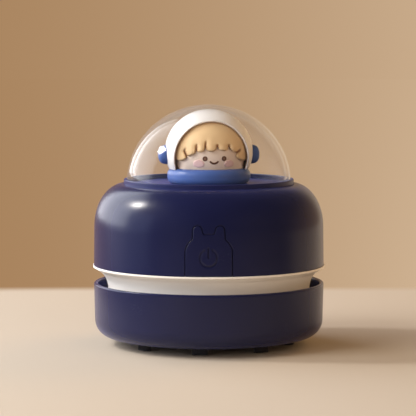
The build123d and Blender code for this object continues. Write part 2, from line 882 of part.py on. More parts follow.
with BuildPart() as upper_housing:
    revolve(skin_band(housing_wall), axis=Axis.Z)
    # ledge that carries the deck, run into the shoulder
    with BuildSketch(Plane.XZ):
        with BuildLine():
            ledge_root = shoulder_centre + housing_wall
            Polyline(
                (deck_opening_radius, ledge_z),
                (ledge_root, ledge_z),
                (ledge_root, deck_seat_z),
                (deck_opening_radius, deck_seat_z),
                close=True,
            )
        make_face()
    revolve(axis=Axis.Z)
    # recess for the deck
    with BuildSketch(Plane.XY.offset(deck_seat_z)):
        Circle(deck_radius + seat_gap)
    extrude(amount=2 * deck_thickness, mode=Mode.SUBTRACT)
    # screw bosses, up into the shoulder
    with BuildSketch(Plane.XY.offset(seam_z)):
        with Locations(*boss_points):
            Circle(boss_radius)
    extrude(amount=boss_top_z - seam_z)
    round_hole(
        frame_screw[2] + bearing_gap,
        boss_points,
        seam_z,
        frame_screw_bite + pilot_spare,
    )
    # eared opening for the power key
    extrude(
        key_outline(running_gap),
        amount=body_radius + housing_wall,
        mode=Mode.SUBTRACT,
    )
    # charging port and lamp hole at the back
    with BuildSketch(Plane.XZ.offset(-boss_circle)):
        with Locations((0, port_z)):
            SlotOverall(socket_width + 2 * port_margin, socket_height + 2 * port_margin)
        with Locations((lamp_offset, port_z)):
            Circle(lamp_radius + bearing_gap)
    extrude(amount=-boss_inset - housing_wall, mode=Mode.SUBTRACT)
save(upper_housing.part, "upper_housing")

with BuildPart() as housing_screws:
    with Locations(*[(x, y, roof_z) for x, y in boss_points]):
        add(screw(frame_screw, roof_thickness + frame_screw_bite))
save(housing_screws.part, "housing_screws")

# ---------------------------------------------------------------- power key and switch

with BuildPart() as key_flange:
    # hidden rim behind the housing's wall
    extrude(key_outline(key_rim), amount=body_radius + housing_wall)
    revolve(
        skin_band(housing_wall + running_gap + key_rim, housing_wall + running_gap),
        axis=Axis.Z,
        mode=Mode.INTERSECT,
    )
    split(bisect_by=Plane.XY.offset(seam_z + seat_gap), keep=Keep.TOP)

with BuildPart() as power_key:
    extrude(key_outline(), amount=body_radius + housing_wall)
    revolve(skin_band(housing_wall + running_gap), axis=Axis.Z, mode=Mode.INTERSECT)
    add(key_flange.part)
    # boss that meets the switch's plunger
    with BuildSketch(Plane.XZ.offset(key_back_y)):
        with Locations((0, symbol_z)):
            Circle(plunger_radius + boss_lap)
    extrude(amount=inner_wall_radius - key_back_y)
    # engraved power symbol
    with BuildSketch(Plane.XZ.offset(body_radius - symbol_depth)):
        with Locations((0, symbol_z)):
            Circle(symbol_radius + symbol_line / 2)
            Circle(symbol_radius - symbol_line / 2, mode=Mode.SUBTRACT)
        with Locations((0, symbol_z + symbol_radius)):
            Rectangle(symbol_gap, symbol_radius, mode=Mode.SUBTRACT)
        with Locations((0, symbol_z + symbol_radius - symbol_gap / 2)):
            SlotOverall(symbol_bar, symbol_line, rotation=90)
    extrude(amount=2 * symbol_depth, mode=Mode.SUBTRACT)
save(power_key.part, "power_key")

with BuildPart() as switch_body:
    with BuildSketch(Plane.XZ.offset(switch_board_y)):
        with Locations((0, symbol_z)):
            Rectangle(switch_size, switch_size)
    extrude(amount=switch_depth)
    with BuildSketch(Plane.XZ.offset(switch_face_y - switch_bore)):
        with Locations((0, symbol_z)):
            Circle(plunger_radius + bearing_gap)
    extrude(amount=switch_bore, mode=Mode.SUBTRACT)
save(switch_body.part, "switch_body")

with BuildPart() as switch_plunger:
    with BuildSketch(Plane.XZ.offset(switch_face_y - plunger_root)):
        with Locations((0, symbol_z)):
            Circle(plunger_radius)
    extrude(amount=key_back_y - switch_face_y + plunger_root)
save(switch_plunger.part, "switch_plunger")

with BuildPart() as switch_board:
    with BuildSketch(Plane.XZ.offset(switch_board_y - board_thickness)):
        with Locations((0, (seam_z + seat_gap + switch_board_top_z) / 2)):
            Rectangle(2 * rail_x - seat_gap, switch_board_top_z - seam_z - seat_gap)
    extrude(amount=board_thickness)
save(switch_board.part, "switch_board")

# ---------------------------------------------------------------- charging board, socket and lamp

with BuildPart() as charge_board:
    with BuildSketch(Plane.XY.offset(charge_board_z)):
        with Locations((0, board_back_y - board_length / 2)):
            RectangleRounded(board_width, board_length, board_round)
    extrude(amount=board_thickness)
    round_hole(
        board_screw[2] + bearing_gap, board_post_points, charge_board_z, board_thickness
    )
save(charge_board.part, "charge_board")

with BuildPart() as board_screws:
    with Locations(*[Location((x, y, pad_z), (180, 0, 0)) for x, y in board_post_points]):
        add(screw(board_screw, board_thickness + board_screw_bite))
save(board_screws.part, "board_screws")

with BuildPart() as charge_socket:
    with BuildSketch(Plane.XZ.offset(-socket_mouth_y)):
        with Locations((0, port_z)):
            SlotOverall(socket_width, socket_height)
    extrude(amount=socket_length)
    with BuildSketch(Plane.XZ.offset(-socket_mouth_y)):
        with Locations((0, port_z)):
            SlotOverall(
                socket_width - 2 * socket_wall, socket_height - 2 * socket_wall
            )
    extrude(amount=socket_length - socket_back, mode=Mode.SUBTRACT)
save(charge_socket.part, "charge_socket")

with BuildPart() as socket_tongue:
    with BuildSketch(Plane.XZ.offset(socket_length - socket_back - socket_mouth_y)):
        with Locations((0, port_z)):
            Rectangle(tongue_width, tongue_thickness)
    extrude(amount=-tongue_length)
save(socket_tongue.part, "socket_tongue")

lamp_root_y = board_back_y - lamp_root
with BuildPart() as charge_lamp:
    with BuildSketch(Plane.XZ.offset(-lamp_root_y)):
        with Locations((lamp_offset, port_z)):
            Circle(lamp_radius)
    extrude(amount=lamp_root_y - lamp_tip_y)
    # foot that stands on the board
    with BuildSketch(Plane.XY.offset(pad_z)):
        with Locations((lamp_offset, lamp_root_y - lamp_foot / 2)):
            Rectangle(lamp_foot, lamp_foot)
    extrude(amount=port_z + lamp_radius - pad_z)
save(charge_lamp.part, "charge_lamp")

with BuildPart() as board_chips:
    with BuildSketch(Plane.XY.offset(pad_z)):
        with Locations((0, board_back_y - 11.5)):
            Rectangle(5.0, 4.0)
        with Locations((-7.5, board_back_y - 6.0), (-7.5, board_back_y - 3.0)):
            Rectangle(1.8, 1.2)
    extrude(amount=chip_height)
save(board_chips.part, "board_chips")

# ---------------------------------------------------------------- battery

with BuildPart() as battery_tape:
    with BuildSketch(Plane.XY.offset(seam_z)):
        with Locations((-cell_offset, 0)):
            Rectangle(tape_width, 2 * cell_half_length - cell_radius)
    extrude(amount=tape_thickness)
save(battery_tape.part, "battery_tape")

with BuildPart() as battery_cell:
    with BuildSketch(Plane.XZ):
        with Locations((-cell_offset, cell_z)):
            Circle(cell_radius)
    extrude(amount=cell_half_length, both=True)
    fillet(battery_cell.edges().filter_by(GeomType.CIRCLE), radius=cell_round)
save(battery_cell.part, "battery_cell")

with BuildPart() as battery_tabs:
    for tab_y in (cell_half_length, -cell_half_length - tab_thickness):
        with BuildSketch(Plane.XZ.offset(tab_y)):
            with Locations((-cell_offset, cell_z)):
                Rectangle(tab_width, tab_height)
        extrude(amount=tab_thickness)
save(battery_tabs.part, "battery_tabs")

# ---------------------------------------------------------------- leads inside the housing

tab_face_y = cell_half_length + tab_thickness
roof_run_z = seam_z + lead_radius + seat_gap
over_cell_z = cell_z + cell_radius + lead_radius + 0.4
above_pad_z = pad_z + 3.6
lead_ring = (seat_ring_outer + boss_circle - boss_radius) / 2  # clear way round the motor

red_pad = (-9.0, board_back_y - 9.4)
battery_lead_red = lead(
    (-cell_offset, tab_face_y, cell_z),
    (-cell_offset, tab_face_y + 3.0, cell_z),
    (-cell_offset + 3.6, tab_face_y + 5.2, cell_z + 1.4),
    (red_pad[0] - 3.4, red_pad[1] + 1.6, above_pad_z + 0.8),
    (*red_pad, above_pad_z),
    (*red_pad, pad_z),
)
save(battery_lead_red, "battery_lead_red")

black_pad = (-5.6, board_back_y - 8.2)
battery_lead_black = lead(
    (-cell_offset, -tab_face_y, cell_z),
    (-cell_offset, -tab_face_y - 2.8, cell_z),
    (-cell_offset - 0.4, -tab_face_y - 3.6, cell_z + 4.8),
    (-cell_offset, -tab_face_y + 0.6, over_cell_z + 1.2),
    (-cell_offset + 0.5, -0.48 * tab_face_y, over_cell_z + 0.2),
    (-cell_offset - 0.4, 0.0, over_cell_z),
    (-cell_offset + 0.4, 0.48 * tab_face_y, over_cell_z + 0.2),
    (-cell_offset + 2.8, 0.83 * tab_face_y, over_cell_z),
    (-cell_offset + 8.0, tab_face_y + 1.1, cell_z + 5.2),
    (*black_pad, above_pad_z + 0.6),
    (*black_pad, pad_z),
)
save(battery_lead_black, "battery_lead_black")

for name, side, pad_x in (
    ("motor_lead_red", 1, 4.2),
    ("motor_lead_black", -1, -1.0),
):
    terminal_x = side * terminal_spread
    motor_pad = (pad_x, board_back_y - 14.6)
    motor_lead = lead(
        (terminal_x, terminal_width / 2, terminal_top_z - 0.8),
        (terminal_x, 5.6, terminal_top_z - 0.6),
        (0.9 * terminal_x, motor_radius - 0.7, terminal_top_z - 0.9),
        ((terminal_x + pad_x) / 2, motor_radius + 3.5, terminal_top_z - 4.6),
        (pad_x + side * 0.3, motor_pad[1] - 5.0, terminal_top_z - 10.4),
        (*motor_pad, above_pad_z + 1.0),
        (*motor_pad, pad_z),
    )
    save(motor_lead, name)

# the two switch leads lie side by side, one lane apart
switch_pad = (3.4, board_thickness - switch_board_y, seam_z + 7.0)
for name, lane in (("switch_lead_a", 0.0), ("switch_lead_b", lead_lane)):
    lane_ring = lead_ring + lane
    board_pad = (6.4 + lane, board_back_y - 9.2 + lane)
    switch_lead = lead(
        (switch_pad[0] + lane, switch_pad[1], switch_pad[2]),
        (switch_pad[0] + lane, switch_pad[1] + 3.6, switch_pad[2]),
        (*polar(lane_ring + 3.2, -66), seam_z + 3.4),
        (*polar(lane_ring - 0.2, -46), roof_run_z),
        (*polar(lane_ring - 2.6, -22), roof_run_z),
        (*polar(lane_ring - 2.2, 2), roof_run_z),
        (*polar(lane_ring - 2.4, 26), roof_run_z + 0.6),
        (*polar(lane_ring + 0.6, 46), seam_z + 4.6),
        (board_pad[0] + 3.0, board_pad[1] - 2.2, above_pad_z + 0.6),
        (*board_pad, above_pad_z),
        (*board_pad, pad_z),
    )
    save(switch_lead, name)

# ---------------------------------------------------------------- deck and dome

with BuildPart() as top_deck:
    with BuildSketch(Plane.XY.offset(deck_seat_z)):
        Circle(deck_radius)
    extrude(amount=deck_thickness)
    with BuildSketch(Plane.XY.offset(housing_top_z)):
        Circle(deck_radius)
        Circle(dome_radius + seat_gap, mode=Mode.SUBTRACT)
    extrude(amount=deck_lip_height)
    fillet(top_deck.edges().group_by(Axis.Z)[-1], radius=deck_lip_round)
    # snap hooks through the housing's opening, caught under its ledge
    hook_radius = deck_opening_radius - seat_gap
    catch_z = ledge_z - running_gap
    hook_arc = degrees(hook_width / hook_radius)
    with BuildSketch(Plane.XZ, mode=Mode.PRIVATE) as hook_profile:
        with BuildLine():
            Polyline(
                (hook_radius - hook_wall, deck_seat_z),
                (hook_radius, deck_seat_z),
                (hook_radius, catch_z),
                (hook_radius + hook_catch, catch_z),
                (hook_radius, catch_z - hook_nose),
                (hook_radius - hook_wall, catch_z - hook_nose),
                close=True,
            )
        make_face()
    for hook in range(hook_count):
        hook_start = (hook + 0.5) * 360 / hook_count - hook_arc / 2
        revolve(
            hook_profile.sketch.rotate(Axis.Z, hook_start),
            axis=Axis.Z,
            revolution_arc=hook_arc,
        )
    # hole for the figure's screw
    round_hole(board_screw[2] + bearing_gap, [(0, 0)], deck_seat_z, deck_thickness)
save(top_deck.part, "top_deck")

with BuildPart() as dome_cover:
    with BuildSketch(Plane.XZ):
        with BuildLine():
            outside = quarter_ellipse(dome_radius, housing_top_z, dome_height)
            inside = quarter_ellipse(
                dome_radius - dome_wall, housing_top_z, dome_height - dome_wall
            )
            Line(outside @ 0, inside @ 0)
            Line(outside @ 1, inside @ 1)
        make_face()
    revolve(axis=Axis.Z)
save(dome_cover.part, "dome_cover")

# ---------------------------------------------------------------- astronaut figure, built facing the front


def turned(piece):
    """A piece of the figure, turned to where the figure looks."""
    return piece.rotate(Axis.Z, figure_turn)


with BuildPart() as figure_collar:
    with BuildSketch(Plane.XZ):
        with BuildLine():
            foot = Line(
                (0, housing_top_z), (collar_radius - collar_foot_inset, housing_top_z)
            )
            bulge = ThreePointArc(
                foot @ 1,
                (collar_radius, housing_top_z + collar_height / 2),
                (collar_radius - collar_lip_inset, collar_top_z),
            )
            Polyline(
                bulge @ 1,
                (head_radius - hair_gap, collar_top_z),
                (head_radius - hair_gap, neck_z),
                (0, neck_z),
                foot @ 0,
            )
        make_face()
    revolve(axis=Axis.Z)
    round_hole(
        board_screw[2] + bearing_gap,
        [(0, 0)],
        housing_top_z,
        board_screw_bite + seat_gap,
    )
save(turned(figure_collar.part), "figure_collar")

with BuildPart() as figure_screw:
    with Locations((0, 0, deck_seat_z)):
        add(screw(board_screw, deck_thickness + board_screw_bite))
save(figure_screw.part, "figure_screw")

with BuildPart() as helmet:
    with Locations((0, 0, figure_z)):
        Sphere(helmet_radius)
        Sphere(helmet_inner, mode=Mode.SUBTRACT)
    split(bisect_by=Plane.XY.offset(collar_top_z), keep=Keep.TOP)
    # arched visor opening
    with BuildSketch(Plane.XZ):
        with Locations((0, figure_z - visor_drop)):
            Circle(visor_radius)
        with Locations((0, figure_z - visor_drop - helmet_radius / 2)):
            Rectangle(2 * visor_radius, helmet_radius)
    extrude(amount=2 * helmet_radius, mode=Mode.SUBTRACT)
    # flats that the ear cups sit on
    for side in (-1, 1):
        with BuildSketch(Plane.YZ.offset(side * ear_seat_x)):
            with Locations((0, figure_z - ear_cup_drop)):
                Circle(helmet_radius / 2)
        extrude(amount=side * 2 * ear_cup_sink, mode=Mode.SUBTRACT)
save(turned(helmet.part), "figure_helmet")

for name, side in (("figure_ear_cup_left", -1), ("figure_ear_cup_right", 1)):
    with BuildPart() as ear_cup:
        with BuildSketch(Plane.XZ):
            with BuildLine():
                bulge = quarter_ellipse(ear_cup_radius, 0, ear_cup_depth)
                Line(bulge @ 0, (0, 0))
                Line(bulge @ 1, (0, 0))
            make_face()
        revolve(axis=Axis.Z)
    seat = Plane(
        (side * ear_seat_x, 0, figure_z - ear_cup_drop), x_dir=(0, 1, 0), z_dir=(side, 0, 0)
    )
    save(turned(ear_cup.part.moved(seat.location)), name)

with BuildPart() as head:
    with Locations((0, 0, figure_z)):
        Sphere(head_radius)
    split(bisect_by=Plane.XY.offset(neck_z), keep=Keep.TOP)
save(turned(head.part), "figure_head")

# fringe across the forehead: each lock's middle, half width and tip below the helmet's centre
fringe_locks = (
    (-11.6, 2.2, 2.6),
    (-8.0, 2.3, 0.9),
    (-4.4, 1.9, -0.2),
    (-0.8, 2.1, -0.6),
    (3.2, 2.2, -0.9),
    (7.0, 2.1, 0.0),
    (10.8, 2.2, 2.6),
)
with BuildPart() as hair:
    with Locations((0, 0, figure_z)):
        Sphere(head_radius + hair_thickness)
        Sphere(head_radius, mode=Mode.SUBTRACT)
    split(bisect_by=Plane.XY.offset(figure_z - hair_drop), keep=Keep.TOP)
    # the face, less a rounded tip for each lock
    with BuildSketch(Plane.XZ):
        with Locations((0, figure_z - head_radius / 2)):
            Rectangle(3 * head_radius, 1.2 * head_radius)
        for middle, half_width, tip in fringe_locks:
            tip_z = figure_z - tip + half_width
            with Locations((middle, tip_z)):
                Circle(half_width, mode=Mode.SUBTRACT)
            with Locations((middle, tip_z + head_radius / 2)):
                Rectangle(2 * half_width, head_radius, mode=Mode.SUBTRACT)
    extrude(amount=2 * helmet_radius, mode=Mode.SUBTRACT)
save(turned(hair.part), "figure_hair")


def print_on_face(outline):
    """A thin printed patch that follows the head, cut from an outline on the front plane."""
    with BuildPart() as patch:
        with Locations((0, 0, figure_z)):
            Sphere(head_radius + print_thickness)
            Sphere(head_radius, mode=Mode.SUBTRACT)
        extrude(outline, amount=2 * head_radius, mode=Mode.INTERSECT)
    return turned(patch.part)


eye_z = figure_z - eye_drop
with BuildSketch(Plane.XZ) as eye_outline:
    with Locations((-eye_spread, eye_z), (eye_spread, eye_z)):
        Circle(eye_radius)
save(print_on_face(eye_outline.sketch), "figure_eyes")

with BuildSketch(Plane.XZ) as smile_outline:
    with BuildLine() as smile_curve:
        CenterArc((0, eye_z), smile_radius, -90 - smile_arc / 2, smile_arc)
    trace(smile_curve.line, line_width=smile_line)
save(print_on_face(smile_outline.sketch), "figure_smile")

cheek_z = figure_z - cheek_drop
with BuildSketch(Plane.XZ) as cheek_outline:
    with Locations((-cheek_spread, cheek_z), (cheek_spread, cheek_z)):
        Ellipse(cheek_width, cheek_height)
save(print_on_face(cheek_outline.sketch), "figure_cheeks")
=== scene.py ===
"""Dresses the desktop vacuum's solids: moulded shells, clear dome, astronaut figure, bristles and a stage.

The figure's forms are worked out in millimetres about the helmet's centre, as if it looked straight ahead.
All else is in metres, in the frame of the solids.
"""

import math
import random

import bpy
import numpy as np
from mathutils import Matrix, Vector


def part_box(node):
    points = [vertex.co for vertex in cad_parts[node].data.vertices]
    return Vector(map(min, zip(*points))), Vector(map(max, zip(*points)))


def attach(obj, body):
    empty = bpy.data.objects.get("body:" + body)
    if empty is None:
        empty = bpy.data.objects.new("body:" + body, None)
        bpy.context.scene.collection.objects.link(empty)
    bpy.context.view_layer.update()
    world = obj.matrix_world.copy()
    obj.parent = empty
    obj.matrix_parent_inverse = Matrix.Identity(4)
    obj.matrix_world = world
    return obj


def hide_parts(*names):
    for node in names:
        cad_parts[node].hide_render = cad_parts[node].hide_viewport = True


bl_info = {
    "name": "Desktop Vacuum Dresser",
    "version": (1, 0, 0),
    "blender": (4, 5, 0),
    "location": "View3D > Sidebar > Vacuum",
    "description": "Gives the desktop vacuum its finishes, its figure's soft forms, its bristles and a stage",
    "category": "Object",
}

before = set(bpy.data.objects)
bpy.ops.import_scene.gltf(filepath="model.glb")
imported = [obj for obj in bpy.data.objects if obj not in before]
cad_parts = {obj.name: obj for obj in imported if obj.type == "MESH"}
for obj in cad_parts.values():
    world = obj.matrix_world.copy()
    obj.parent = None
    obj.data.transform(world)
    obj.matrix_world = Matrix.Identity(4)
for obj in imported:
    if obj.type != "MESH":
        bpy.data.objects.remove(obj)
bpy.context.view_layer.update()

MM = 0.001
_, helmet_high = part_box("figure_helmet")
collar_low, collar_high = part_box("figure_collar")
head_low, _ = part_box("figure_head")
tuft_low, tuft_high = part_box("brush_tufts")


# ---------------------------------------------------------------- settings that a user would change


def colour_of(red, green, blue):
    """A colour given as it looks on screen, as the linear numbers that a shader takes."""
    shown = (red / 255, green / 255, blue / 255)
    return tuple(c / 12.92 if c <= 0.04045 else ((c + 0.055) / 1.055) ** 2.4 for c in shown)


def colour_setting(name, description, default):
    return bpy.props.FloatVectorProperty(
        name=name, description=description, subtype="COLOR", size=3, min=0, max=1, default=default
    )


def length_setting(name, description, default):
    return bpy.props.FloatProperty(name=name, description=description, unit="LENGTH", default=default)


def power_setting(name, description, default):
    return bpy.props.FloatProperty(name=name, description=description, unit="POWER", default=default)


def share_setting(name, description, default):
    return bpy.props.FloatProperty(name=name, description=description, min=0, max=1, default=default)


class ShellSettings(bpy.types.PropertyGroup):
    navy: colour_setting("Navy", "Colour of the cup, housing, key and deck", colour_of(20, 24, 59))
    white: colour_setting("White", "Colour of the skirt between cup and housing", colour_of(240, 236, 230))
    gloss: share_setting("Roughness", "Roughness of the moulded shells", 0.25)
    edge: length_setting("Edge Rounding", "How far moulded edges look rounded", 0.0004)


class DomeSettings(bpy.types.PropertyGroup):
    haze: share_setting("Haze", "Share of the dome that its own sheen covers", 0.012)
    rim: share_setting("Rim Mirror", "How strongly the dome mirrors at its rim", 0.5)


class FigureSettings(bpy.types.PropertyGroup):
    turn: bpy.props.FloatProperty(
        name="Turn", description="Which way the figure looks", default=math.radians(6.5), subtype="ANGLE"
    )
    head_radius: length_setting("Head Radius", "Radius of the head", 0.0129)
    helmet_radius: length_setting("Helmet Radius", "Outer radius of the helmet", 0.0159)
    helmet_wall: length_setting("Helmet Wall", "Thickness of the helmet", 0.0013)
    hair_lift: length_setting("Hair Thickness", "Hair above the head", 0.0015)
    helmet_colour: colour_setting("Helmet", "Colour of the helmet", colour_of(234, 232, 230))
    collar_colour: colour_setting("Collar", "Colour of the collar and ear cups", colour_of(70, 98, 162))
    skin_colour: colour_setting("Skin", "Colour of the face", colour_of(240, 222, 206))
    hair_colour: colour_setting("Hair", "Colour of the hair", colour_of(228, 196, 150))
    cheek_colour: colour_setting("Cheeks", "Colour of the cheeks", colour_of(238, 204, 200))
    print_colour: colour_setting("Print", "Colour of the eyes and smile", colour_of(96, 64, 48))


class BrushSettings(bpy.types.PropertyGroup):
    spacing: length_setting("Spacing", "Between neighbouring bristles", 0.00034)
    thickness: length_setting("Thickness", "Diameter of one bristle", 0.00026)
    splay: length_setting("Splay", "How far the tips stray", 0.00022)


class StageSettings(bpy.types.PropertyGroup):
    floor_colour: colour_setting("Floor", "Colour of the floor", colour_of(195, 183, 167))
    wall_colour: colour_setting("Backdrop", "Colour of the backdrop behind", colour_of(168, 131, 93))
    sunny_colour: colour_setting("Sunlit Wall", "Colour of the backdrop's right", colour_of(236, 211, 180))
    room_colour: colour_setting("Room", "Colour of the room in front and above", colour_of(84, 73, 66))
    focal_length: bpy.props.FloatProperty(
        name="Focal Length", description="Focal length of the camera, in millimetres", default=199.04
    )
    key_power: power_setting("Key Light", "Power of the lamp high on the left", 3.2)
    window_power: power_setting("Window Light", "Power of the window and the sky on the left", 8.2)
    fill_power: power_setting("Fill Light", "Power of the soft lamps in front and around", 6.0)


# ---------------------------------------------------------------- materials


def arithmetic(operation, reflected=False):
    """A method for Wire that adds one Math node, with the wire second in a reflected form."""

    def method(wire, other):
        node = wire.tree.nodes.new("ShaderNodeMath")
        node.operation = operation
        first, second = (other, wire) if reflected else (wire, other)
        plug(wire.tree, node.inputs[0], first)
        plug(wire.tree, node.inputs[1], second)
        return Wire(wire.tree, node.outputs[0])

    return method


class Wire:
    """A socket in a material, on which plain arithmetic adds Math nodes."""

    def __init__(self, tree, socket):
        self.tree = tree
        self.socket = socket

    __add__, __radd__ = arithmetic("ADD"), arithmetic("ADD", reflected=True)
    __sub__, __rsub__ = arithmetic("SUBTRACT"), arithmetic("SUBTRACT", reflected=True)
    __mul__, __rmul__ = arithmetic("MULTIPLY"), arithmetic("MULTIPLY", reflected=True)
    __truediv__, __rtruediv__ = arithmetic("DIVIDE"), arithmetic("DIVIDE", reflected=True)
    __pow__, __rpow__ = arithmetic("POWER"), arithmetic("POWER", reflected=True)
    least = arithmetic("MINIMUM")
    most = arithmetic("MAXIMUM")


def plug(tree, socket, value):
    """Sets a socket to a number or colour, or links a wire to it."""
    if isinstance(value, Wire):
        tree.links.new(value.socket, socket)
    elif socket.type == "RGBA" and len(value) == 3:
        socket.default_value = (*value, 1)
    else:
        socket.default_value = value


class Finish:
    """A material, or the world, under construction."""

    def __init__(self, name, kind="materials"):
        self.material = getattr(bpy.data, kind).new(name)
        self.material.use_nodes = True
        self.tree = self.material.node_tree
        self.tree.nodes.clear()

    def node(self, kind, settings=None, values=None, output=0):
        """Adds a node, sets it up, then gives its sockets their values or links."""
        made = self.tree.nodes.new("ShaderNode" + kind)
        for name, value in (settings or {}).items():
            setattr(made, name, value)
        for name, value in (values or {}).items():
            plug(self.tree, made.inputs[name], value)
        return Wire(self.tree, made.outputs[output]) if made.outputs else None

    def place(self, kind="Object"):
        """Where on its piece a point is, in metres."""
        return self.node("TexCoord", output=kind)

    def part(self, vector, axis):
        """One of a vector's three numbers, by the name of its axis."""
        return self.node("SeparateXYZ", {}, {0: vector}, output=axis)

    def noise(self, place, scale, detail=2.0, stretch=None):
        """Noise from 0 to 1, whose features are about 1/scale metres, drawn out along an axis by stretch."""
        if stretch:
            place = self.node("Mapping", {"vector_type": "POINT"}, {"Vector": place, "Scale": stretch})
        values = {"Vector": place, "Scale": scale, "Detail": detail, "Roughness": 0.55}
        return self.node("TexNoise", {}, values)

    def around(self, middle, noise, spread):
        """A value that noise moves up and down over a spread."""
        return middle + (noise - 0.5) * spread

    def blend(self, share, first, second):
        """A colour between two, by a share from 0 to 1."""
        return self.node("Mix", {"data_type": "RGBA"}, {0: share, 6: first, 7: second}, output=2)

    def ramp(self, value, low, high):
        """0 below low, 1 above high and smooth between."""
        return self.node(
            "MapRange",
            {"interpolation_type": "SMOOTHSTEP"},
            {"Value": value, "From Min": low, "From Max": high},
        )

    def relief(self, height, depth, edge=None):
        """A normal for fine relief of a depth in metres, over edges that look rounded by edge metres."""
        values = {"Height": height, "Strength": 1.0, "Distance": depth}
        if edge:
            values["Normal"] = self.node("Bevel", {"samples": 6}, {"Radius": edge})
        return self.node("Bump", {}, values)

    def layer(self, colour, roughness, normal, metallic=0.0, ior=1.48, **extra):
        """A surface shader."""
        values = {"Base Color": colour, "Roughness": roughness, "Normal": normal, **extra}
        return self.node("BsdfPrincipled", {}, {"Metallic": metallic, "IOR": ior, **values})

    def end(self, surface, kind="OutputMaterial"):
        """Ends the material, or the world, with its surface."""
        self.node(kind, {}, {"Surface": surface})
        return self.material

    def close(self, colour, roughness, normal, **extra):
        """Ends the material with one surface shader."""
        return self.end(self.layer(colour, roughness, normal, **extra))


def shade(colour, factor):
    """A colour made lighter or darker."""
    return tuple(min(1.0, c * factor) for c in colour)


def moulded(name, colour, roughness, edge=0.0, mottle=0.06, **extra):
    """Injection-moulded plastic: faint clouding in the colour and sheen, and a very fine skin texture."""
    finish = Finish(name)
    place = finish.place()
    cloud = finish.noise(place, scale=45, detail=3)
    skin = finish.noise(place, scale=2600, detail=3)
    colour = finish.blend(cloud, shade(colour, 1 - mottle), shade(colour, 1 + mottle))
    roughness = finish.around(finish.around(roughness, cloud, spread=0.08), skin, spread=0.06)
    return finish.close(colour, roughness, finish.relief(skin, depth=0.000006, edge=edge), **extra)


def painted_vinyl(name, colour, roughness, crease=None, **extra):
    """Soft painted vinyl: faint colour changes, a slightly pebbled skin and darker painted shade in crease
    marks.
    """
    finish = Finish(name)
    place = finish.place()
    cloud = finish.noise(place, scale=130, detail=3)
    pebble = finish.noise(place, scale=1500)
    colour = finish.blend(cloud, shade(colour, 0.95), shade(colour, 1.04))
    if crease:
        # painted shade: the crease attribute blends the colour towards a darker shade colour
        depth = finish.node("Attribute", {"attribute_name": "crease"}, output="Fac")
        colour = finish.blend(depth, colour, crease)
    roughness = finish.around(roughness, pebble, spread=0.1)
    return finish.close(colour, roughness, finish.relief(pebble, depth=0.00001), **extra)


def brushed_metal(name, colour, roughness, stretch=(1, 1, 14)):
    """Plated or drawn metal with fine marks along one axis."""
    finish = Finish(name)
    place = finish.place()
    marks = finish.noise(place, scale=900, detail=3, stretch=stretch)
    colour = finish.blend(marks, shade(colour, 0.86), shade(colour, 1.08))
    roughness = finish.around(roughness, marks, spread=0.16)
    return finish.close(colour, roughness, finish.relief(marks, depth=0.000008), metallic=1.0)


def soft_rubber(name, colour, roughness=0.62):
    """Extruded or moulded rubber with a dull bloom."""
    finish = Finish(name)
    place = finish.place()
    bloom = finish.noise(place, scale=260, detail=4)
    colour = finish.blend(bloom, colour, shade(colour, 1.5))
    roughness = finish.around(roughness, bloom, spread=0.14)
    return finish.close(colour, roughness, finish.relief(bloom, depth=0.00002))


def pressed_felt(name, colour):
    """Pressed fibres, lighter where they stand up."""
    finish = Finish(name)
    place = finish.place()
    fibres = finish.noise(place, scale=1400, detail=5, stretch=(1, 1, 0.3))
    clumps = finish.noise(place, scale=240, detail=3)
    colour = finish.blend(fibres * 0.7 + clumps * 0.3, shade(colour, 0.72), shade(colour, 1.05))
    return finish.close(colour, 0.95, finish.relief(fibres + clumps * 0.4, depth=0.00012))


def circuit_board(name, colour):
    """Solder mask over faint copper tracks."""
    finish = Finish(name)
    place = finish.place()
    colours = {"Color1": (0, 0, 0), "Color2": (0, 0, 0), "Mortar": (1, 1, 1)}
    sizes = {"Vector": place, "Scale": 420, "Mortar Size": 0.05}
    tracks = finish.node("TexBrick", {"offset": 0.37, "squash": 1.0}, {**sizes, **colours})
    speck = finish.noise(place, scale=900)
    colour = finish.blend(tracks, colour, shade(colour, 1.9))
    return finish.close(colour, 0.32 + speck * 0.1, finish.relief(tracks, depth=0.00002))


def clear_shell(name, haze, rim):
    """A clear wall: it lets light straight through, and mirrors more towards its rim."""
    finish = Finish(name)
    place = finish.place()
    waves = finish.noise(place, scale=38)
    normal = finish.relief(waves, depth=0.00003)
    facing = finish.node("LayerWeight", {}, {"Blend": 0.5, "Normal": normal}, output="Facing")
    smears = finish.ramp(finish.noise(place, scale=90, detail=4), low=0.35, high=0.8)
    slanting = facing**3 * 0.3
    at_rim = finish.ramp(facing, low=0.6, high=0.95) * rim
    sheen = finish.layer((0.97, 0.97, 0.96), 0.06 + smears * 0.02, normal, metallic=0.8, ior=1.5)
    through = finish.node("BsdfTransparent", {}, {"Color": (1, 1, 1)})
    share = haze + smears * 0.008 + slanting + at_rim
    return finish.end(finish.node("MixShader", {}, {0: share, 1: through, 2: sheen}))


def ringed_eye(name, colour, centres, radius):
    """Printed eyes: a dark ring about a lighter middle, at two centres given in metres on x and z."""
    finish = Finish(name)
    place = finish.place()
    flat = finish.node("VectorMath", {"operation": "MULTIPLY"}, {0: place, 1: (1, 0, 1)})
    left, right = [
        finish.node("VectorMath", {"operation": "DISTANCE"}, {0: flat, 1: (x, 0, z)}, output="Value")
        for x, z in centres
    ]
    middle = 1 - finish.ramp(left.least(right), low=radius * 0.28, high=radius * 0.62)
    speck = finish.noise(place, scale=3000)
    colour = finish.blend(middle * 0.85 + speck * 0.1, colour, colour_of(134, 106, 88))
    roughness = finish.around(0.45, speck, spread=0.1)
    return finish.close(colour, roughness, finish.relief(speck, depth=0.000006))


def paint(material, *nodes):
    """Gives carried-over solids their material."""
    for node in nodes:
        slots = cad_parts[node].data.materials
        slots.clear()
        slots.append(material)


# ---------------------------------------------------------------- soft forms


